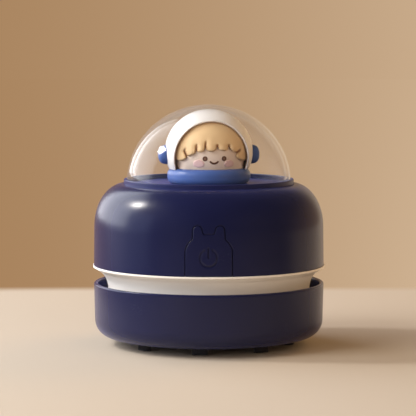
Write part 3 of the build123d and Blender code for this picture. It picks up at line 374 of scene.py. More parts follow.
def length(vectors):
    """Each vector's length, along the last axis of an array."""
    return np.sqrt((vectors * vectors).sum(-1))


def soft_union(first, second, blend):
    """What lies in either field, with a fillet where they meet."""
    share = np.clip(0.5 + 0.5 * (second - first) / blend, 0, 1)
    return second * (1 - share) + first * share - blend * share * (1 - share)


def soft_cut(first, second, blend):
    """What lies in both fields, with a rounded edge where they meet."""
    return -soft_union(-first, -second, blend)


def rounded_slab(across, above, edge):
    """A slab between two distances that are negative inside, with edges rounded by edge."""
    across = across + edge
    above = above + edge
    outside = np.hypot(np.maximum(across, 0), np.maximum(above, 0))
    return np.minimum(np.maximum(across, above), 0) + outside - edge


def along_line(points, start, end):
    """How far along a line the nearest place to each point is, from 0 to 1, and the distance to it."""
    run = np.subtract(end, start)
    along = np.clip(((points - start) @ run) / (run @ run), 0, 1)
    return along, length(points - start - along[..., None] * run)


def grid_of(low, high, step):
    """The places of a grid's nodes from one corner to the other."""
    spans = [np.arange(a, b + step, step) for a, b in zip(low, high)]
    return np.stack(np.meshgrid(*spans, indexing="ij"), -1)


def surface_of(field, low, high, step):
    """Points and four-sided faces on the surface where a field is zero, inside a box.

    Each grid cell that the surface crosses holds one point, at the middle of the crossings on its edges, and
    each crossed edge of the grid gives one face between the four cells around it.
    """
    grid = grid_of(low, high, step)
    value = field(grid)
    cells = tuple(n - 1 for n in value.shape)
    total = np.zeros((*cells, 3))
    count = np.zeros(cells)
    crossings = []
    for axis in range(3):
        near = tuple(slice(0, -1) if a == axis else slice(None) for a in range(3))
        far = tuple(slice(1, None) if a == axis else slice(None) for a in range(3))
        first, second = value[near], value[far]
        crosses = (first < 0) != (second < 0)
        crossings.append((crosses, first < 0))
        gap = np.where(crosses, first - second, 1)
        point = grid[near].copy()
        point[..., axis] += step * np.where(crosses, first / gap, 0)
        others = [a for a in range(3) if a != axis]
        for shift in ((0, 0), (0, 1), (1, 0), (1, 1)):
            window = [slice(None)] * 3
            for a, s in zip(others, shift):
                window[a] = slice(s, s + cells[a])
            window = tuple(window)
            total += point[window] * crosses[window][..., None]
            count += crosses[window]
    used = count > 0
    number = np.full(cells, -1)
    number[used] = np.arange(used.sum())
    points = total[used] / count[used][:, None]
    faces = cell_faces(crossings, number)
    for _ in range(2):
        points = settled(field, relaxed(points, faces), step)
    return settled(field, points, step), faces


def cell_faces(crossings, number):
    """A face for each crossed edge of the grid, facing out, between the points of the cells around it."""
    cells = number.shape
    faces = []
    for axis, (crosses, starts_inside) in enumerate(crossings):
        one, two = [a for a in range(3) if a != axis]
        at = np.argwhere(crosses)
        at = at[(at[:, one] > 0) & (at[:, two] > 0) & (at[:, one] < cells[one]) & (at[:, two] < cells[two])]
        corners = []
        for shift_one, shift_two in ((1, 1), (0, 1), (0, 0), (1, 0)):
            cell = at.copy()
            cell[:, one] -= shift_one
            cell[:, two] -= shift_two
            corners.append(number[tuple(cell.T)])
        quads = np.stack(corners, 1)
        flip = starts_inside[tuple(at.T)] == (axis == 1)
        quads[flip] = quads[flip][:, ::-1]
        faces.append(quads)
    return np.concatenate(faces)


def relaxed(points, faces):
    """Each point moved halfway to the middle of its neighbours."""
    total = np.zeros_like(points)
    count = np.zeros(len(points))
    for a, b in ((0, 1), (1, 2), (2, 3), (3, 0)):
        for start, end in ((a, b), (b, a)):
            np.add.at(total, faces[:, start], points[faces[:, end]])
            np.add.at(count, faces[:, start], 1)
    return 0.5 * points + 0.5 * total / np.maximum(count, 1)[:, None]


def settled(field, points, step):
    """Points moved onto the field's zero surface along its slope."""
    reach, most = 0.05 * step, 0.5 * step
    for _ in range(3):
        rises = [field(points + reach * unit) - field(points - reach * unit) for unit in np.eye(3)]
        slope = np.stack(rises, -1) / (2 * reach)
        move = field(points)[:, None] * slope / np.maximum((slope * slope).sum(-1, keepdims=True), 1e-6)
        size = length(move)[:, None]
        points = points - move * np.minimum(1, most / np.maximum(size, 1e-9))
    return points


def new_piece(name, points, faces, material, body, slot, node, smooth=True):
    """Makes a mesh piece from points in metres, which rides on a body and stands for a node."""
    mesh = bpy.data.meshes.new(name)
    mesh.from_pydata([tuple(p) for p in points], [], [tuple(int(i) for i in f) for f in faces])
    mesh.validate()
    mesh.update()
    mesh.polygons.foreach_set("use_smooth", [smooth] * len(mesh.polygons))
    mesh.materials.append(material)
    piece = bpy.data.objects.new(name, mesh)
    bpy.context.scene.collection.objects.link(piece)
    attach(piece, body)
    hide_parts(node)
    return piece


# ---------------------------------------------------------------- the figure, in millimetres about its centre


def figure_centre():
    """The helmet's centre on the vacuum's axis, in metres."""
    radius = bpy.context.scene.vacuum_figure.helmet_radius
    return Vector((0, 0, helmet_high.z - radius))


def above_centre(height):
    """A height in the solids' frame, as millimetres above the figure's centre."""
    return (height - figure_centre().z) / MM


def head_radius():
    """The head's radius in millimetres."""
    return bpy.context.scene.vacuum_figure.head_radius / MM


def seen(points):
    """Where points are seen from the front."""
    return points[..., [0, 2]]


def in_frame(points):
    """Points about the figure's centre, turned to where it looks and put in the solids' frame."""
    turn = Matrix.Rotation(bpy.context.scene.vacuum_figure.turn, 3, "Z")
    return points @ np.array(turn).T * MM + np.array(figure_centre())


def figure_piece(name, field, low, high, step, material, slot, node, shade_mask=None):
    """A soft form that stands for a node: the surface of a field between two corners."""
    points, faces = surface_of(field, low, high, step)
    piece = new_piece(name, in_frame(points), faces, material, "main_unit", slot, node)
    if shade_mask:
        # the mask of painted shade, stored as the crease attribute that the material reads
        layer = piece.data.attributes.new("crease", "FLOAT", "POINT")
        layer.data.foreach_set("value", shade_mask(points))
    return piece


def head_field(points):
    """A round head, fuller low at its sides and flat where it stands in the collar."""
    side = np.clip((abs(points[..., 0]) - CHUBBY_START) / CHUBBY_RUN, 0, 1)
    side = side * side * (3 - 2 * side)
    squash = np.where(points[..., 2] < 0, 1 - CHUBBY * side, 1)
    shape = np.hypot(np.hypot(points[..., 0], points[..., 1]), points[..., 2] * squash)
    return np.maximum(shape - head_radius(), above_centre(head_low.z) - points[..., 2])


def front_box(low, high, back):
    """Two corners of a box in front of the head, from its corners in the front view and its back."""
    front = -head_radius() - HEAD_MARGIN
    return (low[0], front, low[1]), (high[0], back, high[1])


def head_pad(outline, height, edge):
    """The field of a pad on the head, from its outline in the front view and its rise above the head."""

    def field(points):
        rise = length(points) - head_radius()
        pad = rounded_slab(outline(seen(points)), rise - height, edge)
        return np.maximum(pad, -PAD_ROOT - rise)

    return field


# the lower edge of each lock of the fringe, seen from the front: a curve from one notch to the next
LOCKS = (
    ((-14.4, -1.8), (-11.6, -2.9), (-9.6, -2.6), (-8.95, -0.8)),
    ((-8.95, -0.8), (-8.0, -0.5), (-6.2, 0.25), (-5.8, 1.2)),
    ((-5.8, 1.2), (-5.3, 0.55), (-3.3, 0.75), (-2.65, 2.15)),
    ((-2.65, 2.15), (-1.7, 0.75), (0.6, 0.75), (1.7, 2.5)),
    ((1.7, 2.5), (2.8, 1.1), (5.2, 0.75), (6.0, 2.45)),
    ((6.0, 2.45), (6.9, 1.1), (8.0, 0.75), (8.7, 0.5)),
    ((8.7, 0.5), (8.6, -2.0), (10.6, -3.1), (14.4, -2.4)),
)
# the crease between two locks, from its shallow top to the notch at its foot
CREASES = (
    ((-9.35, 2.7), (-9.9, 1.3), (-9.5, 0.2), (-8.9, -0.85)),
    ((-5.7, 4.1), (-5.9, 2.7), (-5.85, 1.2)),
    ((-2.35, 5.3), (-2.6, 3.6), (-2.65, 2.1)),
    ((1.55, 4.0), (1.7, 2.4)),
    ((5.85, 3.9), (6.0, 2.4)),
    ((10.5, 2.0), (9.9, 1.15), (8.7, 0.5)),
)
# head: how much its lower sides fill out, from how far off the middle, and over what width
CHUBBY, CHUBBY_START, CHUBBY_RUN = 0.65, 7.0, 4.5
# hair: its edge, its root in the head, its low end at the nape, and the run from fringe to nape
HAIR_EDGE, HAIR_ROOT, NAPE, NAPE_RUN = 1.0, 0.3, -2.6, 3.0
# the front view that holds the hair's outline, how high the outline reaches, and the hair's lowest place
HAIR_VIEW, CROWN, HAIR_LOW = ((-16, -6), (16, 16)), 18.0, -4.0
# a crease is a narrow groove in a wide valley
GROOVE_WIDTH, GROOVE_DEPTH = 0.36, 0.75
VALLEY_WIDTH, VALLEY_DEPTH = 1.1, 0.40
# a valley's share of its depth at the crease's top, how fast a crease deepens, and how dark its painted shade
# is
VALLEY_START, DEEPENING, CREASE_SHADE = 0.35, 2.2, 0.8
# helmet: its width and its taper as factors, its opening, the room about the head, its rim and its sunk foot
HELMET_WIDEN, HELMET_TAPER = 1.012, 1.2
OPENING_CENTRE, OPENING_ROOM = (0, -1.5), 0.1
RIM_BEVEL, RIM_ROUNDING, FOOT_SINK = 0.5, 0.3, 1.0
# how far the painted shade in the helmet runs over the opening's edge, and how soon in the wall it is full
RIM_SHADE_RUN, RIM_SHADE_DEPTH = 0.35, 0.5
# ear cups: centre on x and z, radii, how square they are, and how far their box reaches in, out and aside
EAR_CENTRE, EAR_RADII, EAR_POWER = (15.7, -0.6), (2.9, 3.45, 3.45), 2.4
EAR_INWARDS, EAR_OUTWARDS, EAR_ASIDE = 2.2, 3.2, 3.8
# collar: the roundness of its edge, and the seat for the head
COLLAR_EDGE, SEAT_RADIUS, SEAT_DEPTH, SEAT_ROUNDING = 2.45, 12.6, 1.2, 0.3
# pads and prints on the head: how deep they root in it, and how far each kind rises, with its edge
PAD_ROOT = 0.12
CHEEK_RISE, CHEEK_EDGE = 0.3, 0.28
PRINT_RISE, PRINT_EDGE = 0.14, 0.1
# their shapes in the front view, each with a box: two corners in that view, and how far back it goes
CHEEKS, CHEEK_FOOT, CHEEK_FOOT_ROUNDING = (((-5.0, -3.75), 2.0), ((6.07, -3.9), 1.95)), -4.7, 1.8
CHEEK_BOX = ((-9, -6), (10, -1.2), -7)
EYES, EYE_RADIUS = ((-2.79, -1.42), (4.16, -1.42)), 0.9
EYE_BOX = ((-4.2, -2.8), (5.6, 0), -11)
SMILE_MIDDLE, SMILE_REACH, SMILE_RISE, SMILE_RADIUS = (0.5, -3.2), 1.35, 0.65, 0.35
SMILE_BOX = ((-1.8, -3.8), (2.8, -1.9), -11.4)
# the steps of the grids that the forms are read off, and the room kept around a form and around the head
COARSE, FINE, CHEEK_GRID, EYE_GRID, SMILE_GRID = 0.3, 0.2, 0.1, 0.07, 0.06
MARGIN, HEAD_MARGIN = 0.6, 0.5
CURVE_POINTS = 13


class Outline:
    """Distance from a closed outline in a flat view, negative inside, read off a fine grid."""

    def __init__(self, corners, low, high, step=0.08):
        self.low, self.step = np.array(low), step
        at = grid_of(low, high, step)
        nearest = np.full(at.shape[:-1], np.inf)
        inside = np.zeros(at.shape[:-1], bool)
        corners = np.array(corners)
        for start, end in zip(corners, np.roll(corners, -1, 0)):
            nearest = np.minimum(nearest, along_line(at, start, end)[1])
            spans_height = (start[1] > at[..., 1]) != (end[1] > at[..., 1])
            rise = end[1] - start[1] or 1
            crossing = start[0] + (at[..., 1] - start[1]) / rise * (end[0] - start[0])
            inside ^= spans_height & (at[..., 0] < crossing)
        self.table = np.where(inside, -nearest, nearest)

    def __call__(self, view):
        at = (view - self.low) / self.step
        limit = np.array(self.table.shape) - 2
        cell = np.clip(np.floor(at), 0, limit).astype(int)
        along, up = np.moveaxis(np.clip(at - cell, 0, 1), -1, 0)
        i, j = np.moveaxis(cell, -1, 0)
        table = self.table
        near = table[i, j] * (1 - up) + table[i, j + 1] * up
        far = table[i + 1, j] * (1 - up) + table[i + 1, j + 1] * up
        return near * (1 - along) + far * along


def hair_outline():
    """The hair's outline seen from the front: the fringe's locks below, and open above."""
    corners = []
    for a, b, c, d in LOCKS:
        for t in np.linspace(0, 1, CURVE_POINTS, endpoint=False):
            weights = ((1 - t) ** 3, 3 * t * (1 - t) ** 2, 3 * t**2 * (1 - t), t**3)
            corners.append(sum(w * np.array(p) for w, p in zip(weights, (a, b, c, d))))
    first, last = LOCKS[0][0], LOCKS[-1][-1]
    corners += [last, (CROWN, last[1]), (CROWN, CROWN), (-CROWN, CROWN), (-CROWN, first[1])]
    return Outline(corners, *HAIR_VIEW)


def crease_depth(view):
    """How deep the groove and the valley of the nearest crease are, each from 0 to 1."""
    groove = np.zeros(view.shape[:-1])
    valley = np.zeros(view.shape[:-1])
    for line in CREASES:
        for number, (start, end) in enumerate(zip(line, line[1:])):
            along, gap = along_line(view, start, end)
            deep = np.clip((number + along) / (len(line) - 1) * DEEPENING, 0, 1)
            broad = VALLEY_START + (1 - VALLEY_START) * deep
            groove = np.maximum(groove, deep * np.exp(-((gap / GROOVE_WIDTH) ** 2)))
            valley = np.maximum(valley, broad * np.exp(-((gap / VALLEY_WIDTH) ** 2)))
    return groove, valley


def hair_field(outline):
    """The field of the puffy hair over the head, drawn in at each crease."""
    lift = bpy.context.scene.vacuum_figure.hair_lift / MM

    def field(points):
        groove, valley = crease_depth(seen(points))
        front = points[..., 1] < 0
        rise = length(points) - head_radius()
        height = lift - np.where(front, groove * GROOVE_DEPTH + valley * VALLEY_DEPTH, 0)
        share = np.clip(0.5 - points[..., 1] / NAPE_RUN, 0, 1)
        across = outline(seen(points)) * share + (NAPE - points[..., 2]) * (1 - share)
        pad = rounded_slab(across, rise - height, HAIR_EDGE)
        return np.maximum(pad, -HAIR_ROOT - rise)

    return field


def hair_shade(points):
    """How much painted shade darkens the fringe's grooves."""
    groove, _ = crease_depth(seen(points))
    return groove * (points[:, 1] < 0) * CREASE_SHADE


def helmet_reach(points):
    """How far out points are on the helmet's scale: it is a little wide, and drawn in towards its foot."""
    down = np.where(points[..., 2] < 0, HELMET_TAPER, 1) * points[..., 2]
    return np.hypot(np.hypot(points[..., 0] / HELMET_WIDEN, points[..., 1]), down)


def opening_gap(points):
    """How far points are outside the edge of the helmet's opening, seen from the front."""
    return length(seen(points) - np.array(OPENING_CENTRE)) - head_radius() - OPENING_ROOM


def helmet_field(points):
    """A round shell with an arched opening, a bevelled rim and a foot sunk into the collar."""
    settings = bpy.context.scene.vacuum_figure
    wall = settings.helmet_wall / MM
    outer = settings.helmet_radius / MM
    out = helmet_reach(points)
    shell = abs(out - (outer - wall / 2)) - wall / 2
    bevel = RIM_BEVEL * np.clip((out - outer + wall) / wall, 0, 1)
    hole = np.maximum(opening_gap(points) - bevel, points[..., 1])
    foot = above_centre(collar_high.z) - FOOT_SINK - points[..., 2]
    return np.maximum(soft_cut(shell, -hole, RIM_ROUNDING), foot)


def helmet_rim_painted_shade(points):
    """Painted shade: 1 on the opening's inner edge and inside the helmet's front, 0 outside."""
    depth = bpy.context.scene.vacuum_figure.helmet_radius / MM - helmet_reach(points)
    in_opening = np.clip(1 - opening_gap(points) / RIM_SHADE_RUN, 0, 1)
    return in_opening * np.clip(depth / RIM_SHADE_DEPTH, 0, 1) * (points[:, 1] < 0.5)


def ear_cup_field(side):
    """The field of a domed cap on one side of the helmet."""

    def field(points):
        offset = points - np.array((side * EAR_CENTRE[0], 0, EAR_CENTRE[1]))
        shape = (abs(offset / np.array(EAR_RADII)) ** EAR_POWER).sum(-1) ** (1 / EAR_POWER)
        return (shape - 1) * EAR_RADII[0]

    return field


def collar_field(points):
    """A plump ring around the neck, with a seat for the head."""
    low, high = above_centre(collar_low.z), above_centre(collar_high.z)
    around = np.hypot(points[..., 0], points[..., 1])
    upright = abs(points[..., 2] - (low + high) / 2) - (high - low) / 2
    ring = rounded_slab(around - collar_high.x / MM, upright, COLLAR_EDGE)
    seat = np.maximum(around - SEAT_RADIUS, high - SEAT_DEPTH - points[..., 2])
    return soft_cut(ring, -seat, SEAT_ROUNDING)


def smile_outline(view):
    """A bow of even width."""
    turns = np.linspace(-1, 1, CURVE_POINTS)
    line = [np.add(SMILE_MIDDLE, (SMILE_REACH * t, SMILE_RISE * t * t)) for t in turns]
    gaps = [along_line(view, start, end)[1] for start, end in zip(line, line[1:])]
    return np.minimum.reduce(gaps) - SMILE_RADIUS


def eyes_outline(view):
    """Two round eyes."""
    return np.minimum(*[length(view - np.array(eye)) for eye in EYES]) - EYE_RADIUS


def eye_centres():
    """The middle of each eye on the head, on x and z in the solids' frame."""
    spots = [(x, -math.sqrt(head_radius() ** 2 - x**2 - z**2), z) for x, z in EYES]
    return seen(in_frame(np.array(spots))).tolist()


def cheeks_outline(view):
    """Two round cheeks, flattened below."""
    round_parts = [length(view - np.array(centre)) - radius for centre, radius in CHEEKS]
    return soft_cut(np.minimum(*round_parts), CHEEK_FOOT - view[..., 1], CHEEK_FOOT_ROUNDING)


# ---------------------------------------------------------------- operators


# the pale bloom of the navy shells where they curve away, and how the other shells differ from the housing
BLOOM = {"Sheen Weight": 0.3, "Sheen Roughness": 0.45, "Sheen Tint": colour_of(100, 108, 184)}
CUP_BLOOM = {**BLOOM, "Specular IOR Level": 0.4}
DECK_BLOOM = {**BLOOM, "Sheen Weight": 0.45, "Sheen Tint": colour_of(84, 104, 196)}
KEY_ROUNDER, DECK_LIGHTER, DECK_DULLER, WHITE_DULLER = 1.8, 1.8, 0.1, 0.13
LEAD_ROUGHNESS = 0.42


class VACUUM_OT_shells(bpy.types.Operator):
    """Finishes the navy shells, the white frame and the power key"""

    bl_idname = "vacuum.shells"
    bl_label = "Finish Shells"

    def execute(self, context):
        settings = context.scene.vacuum_shell
        navy, gloss, edge = tuple(settings.navy), settings.gloss, settings.edge
        paint(moulded("navy_satin", navy, gloss, edge, **BLOOM), "upper_housing")
        paint(moulded("navy_cup", navy, gloss, edge, **CUP_BLOOM), "dust_cup", "bottom_plate", "inlet_nozzle")
        paint(moulded("navy_key", navy, gloss, edge * KEY_ROUNDER, **BLOOM), "power_key")
        deck = moulded("navy_deck", shade(navy, DECK_LIGHTER), gloss + DECK_DULLER, edge, **DECK_BLOOM)
        paint(deck, "top_deck")
        white = moulded("white_satin", tuple(settings.white), gloss + WHITE_DULLER, edge, mottle=0.02)
        paint(white, "inner_frame")
        return {"FINISHED"}


class VACUUM_OT_works(bpy.types.Operator):
    """Finishes the motor, fan, filter, battery, boards and leads inside"""

    bl_idname = "vacuum.works"
    bl_label = "Finish Works"

    def execute(self, context):
        paint(
            brushed_metal("bright_steel", colour_of(188, 190, 194), roughness=0.28),
            "guard_screws", "motor_shaft", "motor_can", "motor_screws", "housing_screws", "board_screws",
            "charge_socket", "battery_tabs", "figure_screw",
        )
        dark = colour_of(96, 96, 102)
        paint(brushed_metal("dark_laminations", dark, roughness=0.42, stretch=(1, 1, 60)), "motor_armature")
        paint(brushed_metal("terminal_brass", colour_of(214, 176, 98), roughness=0.3), "motor_terminals")
        paint(moulded("sintered_magnet", colour_of(60, 60, 63), roughness=0.55), "motor_magnets")
        paint(moulded("white_motor_cap", colour_of(232, 230, 225), roughness=0.4), "motor_cap")
        paint(moulded("fan_plastic", colour_of(212, 214, 216), roughness=0.35), "fan_wheel")
        paint(moulded("guard_plastic", colour_of(48, 49, 53), roughness=0.45), "fan_guard")
        paint(moulded("filter_plastic", colour_of(120, 123, 130), roughness=0.45), "filter_frame")
        black = moulded("black_housing", colour_of(34, 34, 37), roughness=0.4)
        paint(black, "switch_body", "board_chips", "socket_tongue")
        paint(moulded("switch_cap", colour_of(224, 222, 216), roughness=0.35), "switch_plunger")
        paint(moulded("milky_lens", colour_of(236, 236, 230), roughness=0.22), "charge_lamp")
        paint(soft_rubber("black_rubber", colour_of(32, 32, 33)), "cup_seal", "motor_sleeve")
        paint(pressed_felt("filter_felt", colour_of(238, 236, 228)), "filter_mat")
        paint(pressed_felt("foam_tape", colour_of(232, 230, 224)), "battery_tape")
        paint(circuit_board("solder_mask", colour_of(28, 104, 62)), "charge_board", "switch_board")
        paint(moulded("cell_wrap", colour_of(72, 126, 190), roughness=0.25), "battery_cell")
        red, black, white = colour_of(170, 34, 28), colour_of(36, 36, 38), colour_of(196, 194, 188)
        paint(soft_rubber("lead_red", red, LEAD_ROUGHNESS), "battery_lead_red", "motor_lead_red")
        paint(soft_rubber("lead_black", black, LEAD_ROUGHNESS), "battery_lead_black", "motor_lead_black")
        paint(soft_rubber("lead_white", white, LEAD_ROUGHNESS), "switch_lead_a", "switch_lead_b")
        return {"FINISHED"}


class VACUUM_OT_dome(bpy.types.Operator):
    """Makes the dome clear"""

    bl_idname = "vacuum.dome"
    bl_label = "Finish Dome"

    def execute(self, context):
        settings = context.scene.vacuum_dome
        paint(clear_shell("clear_dome", settings.haze, settings.rim), "dome_cover")
        return {"FINISHED"}


class VACUUM_OT_helmet(bpy.types.Operator):
    """Models the helmet's rounded shell and the ear cups"""

    bl_idname = "vacuum.helmet"
    bl_label = "Model Helmet"

    def execute(self, context):
        settings = context.scene.vacuum_figure
        reach = settings.helmet_radius / MM + MARGIN
        foot = above_centre(collar_high.z) - MARGIN
        # painted shade on the helmet's inner rim, warm as if from light bounced off the hair
        rim_shade_colour = colour_of(190, 146, 112)
        white = painted_vinyl("helmet_white", tuple(settings.helmet_colour), roughness=0.42, crease=rim_shade_colour)
        figure_piece(
            "helmet_shell", helmet_field, (-reach, -reach, foot), (reach, reach, reach), COARSE, white,
            "figure_white", "figure_helmet", helmet_rim_painted_shade,
        )
        blue = painted_vinyl("ear_cup_blue", tuple(settings.collar_colour), roughness=0.4, ior=1.25)
        inner, outer = EAR_CENTRE[0] - EAR_INWARDS, EAR_CENTRE[0] + EAR_OUTWARDS
        foot, top = EAR_CENTRE[1] - EAR_ASIDE, EAR_CENTRE[1] + EAR_ASIDE
        for name, side in (("left", -1), ("right", 1)):
            start, end = sorted((side * inner, side * outer))
            low, high = (start, -EAR_ASIDE, foot), (end, EAR_ASIDE, top)
            figure_piece(
                "ear_cup_" + name, ear_cup_field(side), low, high, FINE, blue,
                "figure_blue", "figure_ear_cup_" + name,
            )
        return {"FINISHED"}


class VACUUM_OT_collar(bpy.types.Operator):
    """Models the plump collar under the helmet"""

    bl_idname = "vacuum.collar"
    bl_label = "Model Collar"

    def execute(self, context):
        reach = collar_high.x / MM + MARGIN
        low, high = above_centre(collar_low.z) - MARGIN, above_centre(collar_high.z) + MARGIN
        blue = painted_vinyl("collar_blue", tuple(context.scene.vacuum_figure.collar_colour), roughness=0.33)
        figure_piece(
            "neck_collar", collar_field, (-reach, -reach, low), (reach, reach, high), COARSE, blue,
            "figure_blue", "figure_collar",
        )
        return {"FINISHED"}


class VACUUM_OT_hair(bpy.types.Operator):
    """Models the hair with its rounded locks"""

    bl_idname = "vacuum.hair"
    bl_label = "Model Hair"

    def execute(self, context):
        settings = context.scene.vacuum_figure
        reach = (settings.head_radius + settings.hair_lift) / MM + HEAD_MARGIN
        # the colour of the painted shade in the hair's creases
        brown = colour_of(128, 66, 34)
        tan = painted_vinyl("hair_tan", tuple(settings.hair_colour), roughness=0.5, crease=brown)
        figure_piece(
            "puffy_hair", hair_field(hair_outline()), (-reach, -reach, HAIR_LOW), (reach, reach, reach), FINE,
            tan, "figure_hair", "figure_hair", hair_shade,
        )
        return {"FINISHED"}


class VACUUM_OT_face(bpy.types.Operator):
    """Models the head and the cheeks, eyes and smile on it"""

    bl_idname = "vacuum.face"
    bl_label = "Model Face"

    def execute(self, context):
        settings = context.scene.vacuum_figure
        reach = head_radius() + HEAD_MARGIN
        foot = above_centre(head_low.z) - HEAD_MARGIN
        cream = painted_vinyl("face_cream", tuple(settings.skin_colour), roughness=0.55)
        figure_piece(
            "doll_head", head_field, (-reach, -reach, foot), (reach, reach, reach), COARSE, cream,
            "figure_skin", "figure_head",
        )
        pink = painted_vinyl("cheek_pink", tuple(settings.cheek_colour), roughness=0.55)
        figure_piece(
            "rosy_cheeks", head_pad(cheeks_outline, CHEEK_RISE, CHEEK_EDGE), *front_box(*CHEEK_BOX),
            CHEEK_GRID, pink, "print_pink", "figure_cheeks",
        )
        ringed = ringed_eye("eye_brown", tuple(settings.print_colour), eye_centres(), EYE_RADIUS * MM)
        figure_piece(
            "printed_eyes", head_pad(eyes_outline, PRINT_RISE, PRINT_EDGE), *front_box(*EYE_BOX),
            EYE_GRID, ringed, "print_brown", "figure_eyes",
        )
        brown = painted_vinyl("smile_brown", tuple(settings.print_colour), roughness=0.5)
        figure_piece(
            "printed_smile", head_pad(smile_outline, PRINT_RISE, PRINT_EDGE), *front_box(*SMILE_BOX),
            SMILE_GRID, brown, "print_brown", "figure_smile",
        )
        return {"FINISHED"}


# the corners round a bristle, its bow in radii, and its thickness along its length
SIDES, BOW, TAPER = 5, 0.8, ((0, 1), (0.55, 0.95), (1, 0.6))
# the rows' distance as a share of the spacing, and the tips' stray at a tuft's middle and by chance
ROW_PITCH, MIDDLE_STRAY, CHANCE_STRAY = 0.9, 0.4, 0.5
# how far the tips may end short of the ground, and how far the roots stay under the tuft's top
TIP_SHORT, ROOT_SINK = 0.00022, 0.00005
# the least gap between two tufts, as an angle about the vacuum's axis
TUFT_GAP = 0.2
SEED = 11


class VACUUM_OT_bristles(bpy.types.Operator):
    """Fills each tuft with separate bristles"""

    bl_idname = "vacuum.bristles"
    bl_label = "Make Bristles"

    def execute(self, context):
        settings = context.scene.vacuum_brush
        chance = random.Random(SEED)
        points, faces = [], []
        for centre, along, half_length, half_width in tufts():
            across = Vector((-along.y, along.x, 0))
            for u, v in bristle_spots(settings, half_length, half_width):
                root = centre + along * u + across * v
                outer = math.hypot(u, v) / half_length
                stray = settings.splay * (MIDDLE_STRAY + (1 - MIDDLE_STRAY) * outer)
                tip = root + along * (u / half_length) * stray + across * (v / half_width) * stray
                tip += Vector(any_way(chance)) * settings.splay * CHANCE_STRAY
                tip.z = tuft_low.z + chance.uniform(0, TIP_SHORT)
                root.z = tuft_high.z - ROOT_SINK
                add_bristle(points, faces, root, tip, settings.thickness / 2, chance)
        new_piece(
            "bristle_bundles", points, faces, bristle_nylon("bristle_black"), "cup", "bristle_black",
            "brush_tufts", smooth=False,
        )
        return {"FINISHED"}


def bristle_spots(settings, half_length, half_width):
    """Where bristles stand in a tuft, along and across it: staggered rows inside its round-ended outline."""
    rows = int(half_width / settings.spacing)
    columns = int(half_length / settings.spacing)
    for row in range(-rows, rows + 1):
        for column in range(-columns, columns + 1):
            u = (column + 0.5 * (row % 2)) * settings.spacing
            v = row * settings.spacing * ROW_PITCH
            beyond = max(0, abs(u) - (half_length - half_width))
            if math.hypot(beyond, v) <= half_width - settings.thickness / 2:
                yield u, v


def any_way(chance):
    """A random sideways step."""
    return chance.uniform(-1, 1), chance.uniform(-1, 1), 0


def tufts():
    """Each tuft's centre, long direction, half length and half width, read from the solids."""
    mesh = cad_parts["brush_tufts"].data
    spots = np.array([v.co[:] for v in mesh.vertices])
    angle = np.arctan2(spots[:, 1], spots[:, 0])
    order = np.argsort(angle)
    breaks = np.flatnonzero(np.diff(angle[order]) > TUFT_GAP) + 1
    groups = np.split(order, breaks)
    if angle[groups[0][0]] + math.tau - angle[groups[-1][-1]] < TUFT_GAP:
        groups[0] = np.concatenate((groups[0], groups.pop()))
    for group in groups:
        flat = spots[group][:, :2]
        middle = (flat.min(0) + flat.max(0)) / 2
        centre = Vector((*middle, 0))
        outward = centre.normalized()
        along = Vector((-outward.y, outward.x, 0))
        run = (flat - middle) @ np.array(along[:2])
        depth = (flat - middle) @ np.array(outward[:2])
        yield centre, along, abs(run).max(), abs(depth).max()


def circle(number, radius):
    """Points round a flat circle about the origin."""
    turns = [math.tau * side / number for side in range(number)]
    return [Vector((math.cos(turn), math.sin(turn), 0)) * radius for turn in turns]


def add_bristle(points, faces, root, tip, radius, chance):
    """One tapering bristle from root to tip, with a slight bow."""
    bow = Vector(any_way(chance)) * radius * BOW
    start = len(points)
    for share, size in TAPER:
        middle = root.lerp(tip, share) + bow * math.sin(math.pi * share)
        points += [middle + offset for offset in circle(SIDES, radius * size)]
    last = start + (len(TAPER) - 1) * SIDES
    for low in range(start, last, SIDES):
        for side in range(SIDES):
            after = (side + 1) % SIDES
            faces.append((low + side, low + SIDES + side, low + SIDES + after, low + after))
    faces.append([start + side for side in range(SIDES)])
    faces.append([last + side for side in reversed(range(SIDES))])


def bristle_nylon(name):
    """Black nylon, a little lighter and shinier on some bristles."""
    finish = Finish(name)
    place = finish.place()
    strand = finish.noise(place, scale=2400, detail=1, stretch=(1, 1, 0.02))
    colour = finish.blend(strand, colour_of(20, 20, 24), colour_of(66, 66, 76))
    return finish.close(colour, 0.36 + strand * 0.2, finish.relief(strand, depth=0.00002))


# the place near the object's middle that most lamps point at
MIDDLE = (0, 0, 0.045)
# each lamp's name, place, target and size, whose power it takes and what share of it, its colour, and whether
# the object mirrors it
LAMPS = (
    ("key_lamp", (-0.66, 0.05, 0.565), MIDDLE, (0.12,), "key_power", 1, (1, 0.95, 0.88), True),
    ("window_lamp", (-0.643, 0.386, 0.53), (0, 0, 0.53), (0.9, 0.93),
     "window_power", 1, (0.91, 0.94, 1), True),
    ("sky_lamp", (-0.46, -0.02, 0.15), (0, -0.02, 0.15), (0.5, 0.3),
     "window_power", 0.055, (0.64, 0.72, 1), True),
    ("side_lamp", (-0.46, -0.60, 0.16), MIDDLE, (0.42, 0.30), "fill_power", 0.27, (0.98, 0.97, 0.96), False),
    ("bounce_lamp", (0.50, -0.46, 0.20), MIDDLE, (0.5, 0.5), "fill_power", 0.235, (1, 0.70, 0.44), False),
    ("front_lamp", (-0.66, -0.36, 0.56), MIDDLE, (0.5, 0.5), "fill_power", 1, (1, 0.96, 0.91), False),
    ("wall_glow", (0.50, 0.40, 0.40), MIDDLE, (0.5, 0.5), "fill_power", 0.34, (1, 0.58, 0.22), False),
)
CAMERA_PLACE, CAMERA_TARGET = (-0.0003, -0.839, 0.12257), (-0.0003, 0, 0.04991)
FLOOR_SIDES, FLOOR_RINGS = 64, (0.08, 0.16, 0.24, 0.5, 1.2, 3.2)
